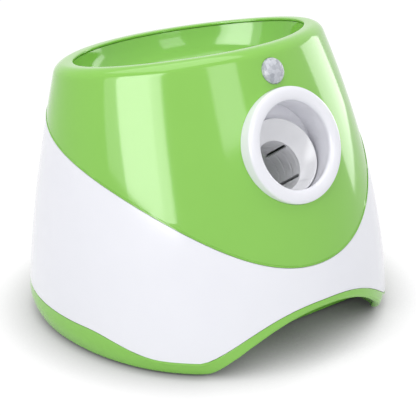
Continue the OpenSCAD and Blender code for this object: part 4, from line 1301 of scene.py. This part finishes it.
        def place(around: Points, back: Points) -> Points:
            """Point of the bore for an angle and a distance behind the mouth."""
            flute = 0.28 * (np.sin(back * 2 * np.pi / 9.5) > 0.75) * (back < 90)
            r = self.tube_r + flute
            c, q = np.cos(np.radians(around)), np.sin(np.radians(around))
            return np.stack([r * c, r * q, -back + 0 * around], -1)

        turn = math.radians(-90 - self.chute_lean + self.tilt)
        chute = Matrix.Translation(Vector((0, 0, -self.seat))) @ Matrix.Rotation(turn, 4, "X")

        def opening(p: Points) -> Points:
            """Distance to the edge of the ball opening, below zero inside it."""
            local = into(chute, p)
            away = np.hypot(local[..., 0], local[..., 1]) - self.chute_r
            return np.where(local[..., 2] > 0, away, np.maximum(away, 1.0))

        points, keep = cut_hole(angle, depth, place, opening)
        start, end = angle[:-1], np.roll(angle, -1, 1)[:-1]
        middle_u = (start + end + 360 * (end < start)) / 2 % 360
        middle_s = (depth[:-1] + depth[1:]) / 2
        for centre in centres:
            gap = np.abs((middle_u - centre + 180) % 360 - 180)
            keep &= ~((gap < slot_half) & (middle_s > self.slot_run[0]) & (middle_s < far))
        keep &= ~((np.abs(middle_u - 270) < bottom) & (middle_s > self.web_from) & (middle_s < far))
        return thick_sheet(points[::-1], -self.tube_wall, keep[::-1])


@dataclass
class SensorEye:
    """Frosted lens of the motion sensor, a dome of small lens cells."""

    maker: Maker
    lens: Matrix
    radius: float = 11.0
    height: float = 5.5

    def build(self) -> None:
        """Makes the dome with its skirt and flange as one closed skin."""
        turns = np.linspace(0, math.pi / 2, 19)[:-1]
        rise = [(self.radius * math.cos(t), self.height * math.sin(t)) for t in turns]
        profile = [(0.0, -6.2), (13.0, -6.2), (13.0, -4.7), (self.radius, -4.7), *rise, (0.0, self.height)]
        shape = revolve(profile).moved(self.lens)
        self.maker.mould("sensor_lens", shape, LENS, Slot.LENS)


@dataclass
class Drive:
    """Coil spring on the launch axis that stands in for the CAD's plunger spring."""

    maker: Maker
    launch: Matrix
    start: float = 83.0
    end: float = 165.0
    radius: float = 17.0
    wire: float = 1.1
    turns: float = 9.0
    stroke: float = 50.0

    def build(self) -> None:
        """Makes the spring and seats it on the launch axis."""
        low, high = self.start + self.wire + 0.1, self.end - self.wire - 0.1
        sizes = {
            "Coil radius": self.radius,
            "Wire radius": self.wire,
            "Turns": self.turns,
            "Length": high - low,
        }
        mesh = grown("plunger_spring_coil", self.tree(), sizes, SPRING_STEEL, [(0.0, 0.0, 0.0)])
        mesh.transform(Matrix.Scale(MM, 4) @ self.launch @ Matrix.Translation(Vector((0, 0, -high))))
        piece = self.maker.piece("plunger_spring_coil", mesh, SPRING_STEEL, Slot.SPRING, ["plunger_spring"])
        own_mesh(piece)

    def tree(self) -> bpy.types.GeometryNodeTree:
        """Builds the coil: a spiral whose end turns close up, with a round wire run along it."""
        tree, given = new_growth("coil_spring", ("Coil radius", "Wire radius", "Turns", "Length"))
        spiral = add_node(
            tree,
            "GeometryNodeCurveSpiral",
            {
                "Resolution": 48,
                "Rotations": given["Turns"],
                "Start Radius": given["Coil radius"],
                "End Radius": given["Coil radius"],
                "Height": 1.0,
            },
        )
        along = add_node(tree, "GeometryNodeSplineParameter")
        closing = add_node(tree, "ShaderNodeFloatCurve", {"Value": along.outputs["Factor"]})
        points = closing.mapping.curves[0].points
        for place, value in ((0.1, 0.03), (0.9, 0.97)):
            points.new(place, value)
        closing.mapping.update()
        rise = add_node(
            tree, "ShaderNodeMath", {0: closing.outputs[0], 1: given["Length"]}, operation="MULTIPLY"
        )
        parts = add_node(
            tree, "ShaderNodeSeparateXYZ", {0: add_node(tree, "GeometryNodeInputPosition").outputs[0]}
        )
        place = add_node(
            tree, "ShaderNodeCombineXYZ", {0: parts.outputs[0], 1: parts.outputs[1], 2: rise.outputs[0]}
        )
        coil = add_node(
            tree,
            "GeometryNodeSetPosition",
            {"Geometry": spiral.outputs[0], "Position": place.outputs[0]},
        )
        wire = add_node(
            tree, "GeometryNodeCurvePrimitiveCircle", {"Resolution": 12, "Radius": given["Wire radius"]}
        )
        body = add_node(
            tree,
            "GeometryNodeCurveToMesh",
            {"Curve": coil.outputs[0], "Profile Curve": wire.outputs[0], "Fill Caps": True},
        )
        end_growth(tree, given, body.outputs[0])
        return tree


@dataclass
class Fasteners:
    """Cross-recessed pan-head screws, grown at the places where the CAD has its plain ones."""

    maker: Maker
    pitch: float = 1.1
    thread: float = 0.14
    nodes: tuple[str, ...] = ("shell_screws", "gearbox_screws", "board_screws")

    def build(self) -> None:
        """Makes one piece for each CAD node of screws."""
        tree = self.tree()
        for node in self.nodes:
            rows: dict[tuple[float, ...], list[Points]] = {}
            for points in islands(self.maker.frame["nodes"][node]):
                key, place = self.measure(points)
                rows.setdefault(key, []).append(place)
            work = bmesh.new()
            for key, places in rows.items():
                direction, sizes = key[:3], dict(
                    zip(("Head radius", "Head height", "Shank radius", "Shank length"), key[3:])
                )
                values = sizes | {"Direction": direction, "Pitch": self.pitch, "Thread": self.thread}
                mesh = grown(f"{node}_row", tree, values, ZINC_STEEL, places)
                mesh.transform(Matrix.Scale(MM, 4))
                work.from_mesh(mesh)
            whole = bpy.data.meshes.new(f"{node}_pan_head")
            work.to_mesh(whole)
            work.free()
            self.maker.piece(f"{node}_pan_head", whole, ZINC_STEEL, Slot.ZINC, [node])

    def measure(self, points: Points) -> tuple[tuple[float, ...], Points]:
        """Reads one screw's direction and sizes from the CAD's plain screw.

        Args:
            points: The screw's vertices, in millimetres.

        Returns:
            Its direction towards the head with its four sizes, and the middle of its head's underside.
        """
        low, high = points.min(0), points.max(0)
        axis = int(np.argmax(high - low))
        middle = (low + high) / 2
        off = np.linalg.norm(np.delete(points - middle, axis, 1), axis=1)
        head_r, shank_r = off.max(), off[off < off.max() * 0.8].max()
        head = points[off > (head_r + shank_r) / 2][:, axis]
        upward = head.mean() > middle[axis]
        under = head.min() if upward else head.max()
        place = middle.copy()
        place[axis] = under
        direction = np.zeros(3)
        direction[axis] = 1.0 if upward else -1.0
        length = abs(under - (low[axis] if upward else high[axis]))
        sizes = (head_r, np.ptp(head), shank_r, length)
        return tuple(float(round(v, 2)) for v in (*direction, *sizes)), place

    def tree(self) -> bpy.types.GeometryNodeTree:
        """Builds the screw: chamfered head less a cross, shank and thread, put at every given point."""
        names = ("Head radius", "Head height", "Shank radius", "Shank length", "Pitch", "Thread")
        tree, given = new_growth("pan_head_screws", names, ("Direction",))

        def math_of(operation: str, a: Any, b: Any) -> bpy.types.NodeSocket:
            """Joins two numbers by a sum, product or quotient."""
            return add_node(tree, "ShaderNodeMath", {0: a, 1: b}, operation=operation).outputs[0]

        def lifted(part: bpy.types.NodeSocket, height: Any) -> bpy.types.NodeSocket:
            """Moves a part along Z."""
            shift = add_node(tree, "ShaderNodeCombineXYZ", {2: height})
            return add_node(
                tree, "GeometryNodeTransform", {"Geometry": part, "Translation": shift.outputs[0]}
            ).outputs[0]

        head = add_node(
            tree,
            "GeometryNodeMeshCone",
            {
                "Vertices": 40,
                "Radius Top": math_of("MULTIPLY", given["Head radius"], 0.72),
                "Radius Bottom": given["Head radius"],
                "Depth": given["Head height"],
            },
        )
        arm, slim = math_of("MULTIPLY", given["Head radius"], 1.1), math_of(
            "MULTIPLY", given["Head radius"], 0.26
        )
        deep = math_of("MULTIPLY", given["Head height"], 1.2)
        wide_box = add_node(tree, "ShaderNodeCombineXYZ", {0: arm, 1: slim, 2: deep})
        tall_box = add_node(tree, "ShaderNodeCombineXYZ", {0: slim, 1: arm, 2: deep})
        cross = [
            lifted(
                add_node(tree, "GeometryNodeMeshCube", {"Size": size.outputs[0]}).outputs[0],
                given["Head height"],
            )
            for size in (wide_box, tall_box)
        ]
        recessed = add_node(
            tree, "GeometryNodeMeshBoolean", {"Mesh 1": head.outputs[0]}, operation="DIFFERENCE"
        )
        for box in cross:
            tree.links.new(box, recessed.inputs["Mesh 2"])
        shank = add_node(
            tree,
            "GeometryNodeMeshCylinder",
            {"Vertices": 28, "Radius": given["Shank radius"], "Depth": given["Shank length"]},
        )
        half = math_of("MULTIPLY", given["Shank length"], -0.5)
        turns = math_of("DIVIDE", math_of("MULTIPLY", given["Shank length"], 0.8), given["Pitch"])
        helix = add_node(
            tree,
            "GeometryNodeCurveSpiral",
            {
                "Resolution": 20,
                "Rotations": turns,
                "Start Radius": given["Shank radius"],
                "End Radius": given["Shank radius"],
                "Height": math_of("MULTIPLY", given["Shank length"], 0.8),
            },
        )
        ridge = add_node(
            tree, "GeometryNodeCurvePrimitiveCircle", {"Resolution": 4, "Radius": given["Thread"]}
        )
        thread = add_node(
            tree,
            "GeometryNodeCurveToMesh",
            {"Curve": helix.outputs[0], "Profile Curve": ridge.outputs[0], "Fill Caps": True},
        )
        screw = add_node(tree, "GeometryNodeJoinGeometry")
        for part in (
            recessed.outputs[0],
            lifted(shank.outputs[0], half),
            lifted(thread.outputs[0], math_of("MULTIPLY", given["Shank length"], -0.96)),
        ):
            tree.links.new(part, screw.inputs[0])
        turned = add_node(tree, "FunctionNodeAlignRotationToVector", {"Vector": given["Direction"]}, axis="Z")
        spots = add_node(tree, "GeometryNodeMeshToPoints", {"Mesh": given["Geometry"]})
        rows = add_node(
            tree,
            "GeometryNodeInstanceOnPoints",
            {"Points": spots.outputs[0], "Instance": screw.outputs[0], "Rotation": turned.outputs[0]},
        )
        end_growth(tree, given, rows.outputs[0])
        return tree


@dataclass
class CadFinishes:
    """Finishes and smooth shading of the CAD nodes that stay as they are."""

    frame: dict[str, Any]
    finishes: dict[str, Finish] = field(
        default_factory=lambda: {
            "ball_chute": TUBE_ABS,
            "plunger": GREY_ACETAL,
            "plunger_pad": RUBBER,
            "spring_cap": NYLON,
            "gearbox_left": NYLON,
            "gearbox_right": NYLON,
            "sector_gear": NYLON,
            "final_gear": ACETAL,
            "middle_gear": ACETAL,
            "first_gear": ACETAL,
            "sector_shaft": BRIGHT_STEEL,
            "gear_pins": BRIGHT_STEEL,
            "shaft_bushes": BRONZE,
            "motor_can": CAN_STEEL,
            "motor_rotor": BRIGHT_STEEL,
            "motor_pinion": BRASS,
            "sensor_holder": NYLON,
            "motion_sensor": NICKEL,
            "ball_detector": NYLON,
            "control_panel": SPARK_ABS,
            "power_button": RED_ABS,
            "range_button": WHITE_ABS,
            "indicator_lights": EPOXY,
            "dc_socket": NYLON,
            "control_board": LAMINATE,
            "key_switches": NYLON,
            "buzzer": NYLON,
            "battery_box": NYLON,
            "battery_cells": CELL,
            "battery_contacts": NICKEL,
            "battery_door": GREEN_ABS,
            "floor_pads": RUBBER,
            "wiring": PVC,
        }
    )

    def smoothing(self) -> bpy.types.GeometryNodeTree:
        """Builds the node tree that welds a CAD mesh and shades it smooth except across sharp edges."""
        tree = bpy.data.node_groups.new("weld_and_smooth", "GeometryNodeTree")
        tree.interface.new_socket("Geometry", in_out="INPUT", socket_type="NodeSocketGeometry")
        weld = tree.interface.new_socket("Weld distance", in_out="INPUT", socket_type="NodeSocketFloat")
        weld.default_value = 1e-5
        sharp = tree.interface.new_socket("Sharp angle", in_out="INPUT", socket_type="NodeSocketFloat")
        sharp.default_value = math.radians(32)
        tree.interface.new_socket("Geometry", in_out="OUTPUT", socket_type="NodeSocketGeometry")
        given = add_node(tree, "NodeGroupInput")
        welded = add_node(
            tree,
            "GeometryNodeMergeByDistance",
            {"Geometry": given.outputs[0], "Distance": given.outputs[1]},
        )
        angle = add_node(tree, "GeometryNodeInputMeshEdgeAngle")
        turned = add_node(
            tree,
            "FunctionNodeCompare",
            {0: angle.outputs[0], 1: given.outputs[2]},
            operation="GREATER_THAN",
        )
        soft = add_node(tree, "GeometryNodeSetShadeSmooth", {"Geometry": welded.outputs[0]}, domain="FACE")
        hard = add_node(
            tree, "GeometryNodeSetShadeSmooth", {
                "Geometry": soft.outputs[0], "Selection": turned.outputs[0], "Shade Smooth": False
            }, domain="EDGE"
        )
        add_node(tree, "NodeGroupOutput", {0: hard.outputs[0]})
        return tree

    def dress(self) -> None:
        """Gives every shown CAD node its finish and its smooth shading."""
        tree = self.smoothing()
        for name, node in self.frame["nodes"].items():
            if node.hide_render:
                continue
            node.data.materials.clear()
            node.data.materials.append(FINISHES.of(self.finishes[name]))
            modifier = node.modifiers.new("weld_and_smooth", "NODES")
            modifier.node_group = tree


@dataclass
class Studio:
    """Camera at the photograph's viewing angle, white floor and surroundings, and soft lamps."""

    azimuth: float = -39.419
    elevation: float = 23.070
    distance: float = 1338.5
    target: tuple[float, float, float] = (-0.66, 1.9, 85.87)
    lens: float = 129.63
    surround: float = 0.62
    floor_half: float = 12.0
    floor_glow: float = 0.93
    shade_reach: float = 0.08
    shade_fall: float = 1.3
    shade_gain: float = 1.25

    def build(self) -> None:
        """Sets the colour management, camera, floor, world and lamps."""
        bpy.context.scene.view_settings.view_transform = "Standard"
        self.camera()
        self.floor()
        self.world()
        self.lamps()

    def back(self) -> Vector:
        """Direction from the target to the camera."""
        a, e = math.radians(self.azimuth), math.radians(self.elevation)
        return Vector((math.sin(a) * math.cos(e), -math.cos(a) * math.cos(e), math.sin(e)))

    def camera(self) -> None:
        """Places the camera."""
        data = bpy.data.cameras.new("camera")
        data.lens, data.sensor_width = self.lens, 36.0
        data.clip_start, data.clip_end = 0.01, 50
        camera = bpy.data.objects.new("camera", data)
        camera.location = (Vector(self.target) + self.back() * self.distance) * MM
        camera.rotation_mode = "QUATERNION"
        camera.rotation_quaternion = (-self.back()).to_track_quat("-Z", "Y")
        bpy.context.scene.collection.objects.link(camera)
        bpy.context.scene.camera = camera

    def shown(self, tree: bpy.types.NodeTree) -> bpy.types.NodeSocket:
        """Tells rays that show the studio, also in glass or gloss, from those that light the object."""
        path = add_node(tree, "ShaderNodeLightPath")
        ray = path.outputs["Is Camera Ray"]
        for kind in ("Is Transmission Ray", "Is Glossy Ray"):
            ray = add_node(
                tree, "ShaderNodeMath", {0: ray, 1: path.outputs[kind]}, operation="MAXIMUM"
            ).outputs[0]
        return ray

    def floor(self) -> None:
        """Lays a floor that shows a white glow less a painted shadow from ambient occlusion, over a dull part
        that takes the lamps' shadows, and that returns light as paper does.
        """
        material, tree = new_material("studio_floor_paper")
        where = add_node(tree, "ShaderNodeTexCoord").outputs["Object"]
        grain = add_node(tree, "ShaderNodeTexNoise", {"Vector": where, "Scale": 40.0})
        tone = add_node(
            tree,
            "ShaderNodeMix",
            {0: grain.outputs["Fac"], 6: (*[0.115] * 3, 1), 7: (*[0.125] * 3, 1)},
            data_type="RGBA",
        )
        # Painted shadow: ambient occlusion near the object dims the floor's white glow, in place of shadow
        # cast by the lamps.
        shade = add_node(tree, "ShaderNodeAmbientOcclusion", {"Distance": self.shade_reach}, samples=16)
        fall = add_node(
            tree, "ShaderNodeMath", {0: shade.outputs["AO"], 1: self.shade_fall}, operation="POWER"
        )
        full = add_node(
            tree,
            "ShaderNodeMath",
            {0: fall.outputs[0], 1: self.shade_gain},
            operation="MULTIPLY",
            use_clamp=True,
        )
        glow = add_node(
            tree, "ShaderNodeMath", {0: full.outputs[0], 1: self.floor_glow}, operation="MULTIPLY"
        )
        lift = add_node(tree, "ShaderNodeEmission", {"Color": (1, 1, 1, 1), "Strength": glow.outputs[0]})
        dull = add_node(tree, "ShaderNodeBsdfDiffuse", {"Color": tone.outputs[2]})
        seen = add_node(tree, "ShaderNodeAddShader", {0: dull.outputs[0], 1: lift.outputs[0]})
        paper = add_node(tree, "ShaderNodeBsdfDiffuse", {"Color": (0.86, 0.86, 0.865, 1)})
        both = add_node(
            tree, "ShaderNodeMixShader", {0: self.shown(tree), 1: paper.outputs[0], 2: seen.outputs[0]}
        )
        add_node(tree, "ShaderNodeOutputMaterial", {"Surface": both.outputs[0]})
        mesh = bpy.data.meshes.new("studio_floor")
        corners = [
            (x * self.floor_half, y * self.floor_half, 0)
            for x, y in ((-1, -1), (1, -1), (1, 1), (-1, 1))
        ]
        mesh.from_pydata(corners, [], [(0, 1, 2, 3)])
        mesh.materials.append(material)
        floor = bpy.data.objects.new("studio_floor", mesh)
        bpy.context.scene.collection.objects.link(floor)

    def world(self) -> None:
        """Surrounds the object with an even, slightly cool white."""
        world = bpy.data.worlds.new("studio")
        world.use_nodes = True
        tree = world.node_tree
        tree.nodes.clear()
        around = add_node(
            tree, "ShaderNodeBackground", {"Color": (0.97, 0.98, 1.0, 1), "Strength": self.surround}
        )
        behind = add_node(tree, "ShaderNodeBackground", {"Color": (1, 1, 1, 1), "Strength": 1.0})
        both = add_node(
            tree,
            "ShaderNodeMixShader",
            {0: self.shown(tree), 1: around.outputs[0], 2: behind.outputs[0]},
        )
        add_node(tree, "ShaderNodeOutputWorld", {"Surface": both.outputs[0]})
        bpy.context.scene.world = world

    def lamps(self) -> None:
        """Hangs the soft boxes that light the object, and the strips that only show in its gloss."""
        self.box("top_box", (0.0, 0.1, 2.0), (1.6, 1.6), 17.0)
        self.box("left_box", (-1.9, -0.7, 1.1), (1.4, 1.4), 11.0)
        self.box("nozzle_box", (0.0, -1.25, 1.0), (0.5, 0.5), 2.2)
        self.box("left_strip", (-1.17, -0.67, 0.83), (0.78, 1.05), 15.0, lights=False)
        self.box("right_strip", (1.3, 0.0, 0.27), (0.6, 0.5), 2.4, lights=False)

    def box(
        self,
        name: str,
        place: tuple[float, float, float],
        size: tuple[float, float],
        power: float,
        lights: bool = True,
    ) -> None:
        """Hangs one soft box that faces the object.

        Args:
            name: The lamp's name.
            place: Where it hangs, in metres.
            size: Its width and height, in metres.
            power: Its power, in watts.
            lights: Whether it lights surfaces, or only shows in glossy ones.
        """
        data = bpy.data.lights.new(name, "AREA")
        data.shape, data.size, data.size_y, data.energy = "RECTANGLE", size[0], size[1], power
        lamp = bpy.data.objects.new(name, data)
        lamp.location = place
        lamp.rotation_mode = "QUATERNION"
        lamp.rotation_quaternion = (Vector((0, 0, 0.12)) - Vector(place)).to_track_quat("-Z", "Y")
        lamp.visible_diffuse = lights
        bpy.context.scene.collection.objects.link(lamp)


def main() -> None:
    """Loads the frame and builds every sub-assembly in order."""
    logging.basicConfig(level=logging.INFO, format="%(name)s: %(message)s")
    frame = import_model()
    maker = Maker(frame)
    ring, launch, lens = (frame_of(*axis) for axis in (RING_AXIS, LAUNCH_AXIS, LENS_AXIS))
    Shells(maker, ring, lens).build()
    Nozzle(maker, ring, launch).build()
    SensorEye(maker, lens).build()
    Drive(maker, launch).build()
    Fasteners(maker).build()
    CadFinishes(frame).dress()
    Studio().build()
    LOG.info("pieces: %s", ", ".join(maker.made))


if __name__ == "__main__":
    main()
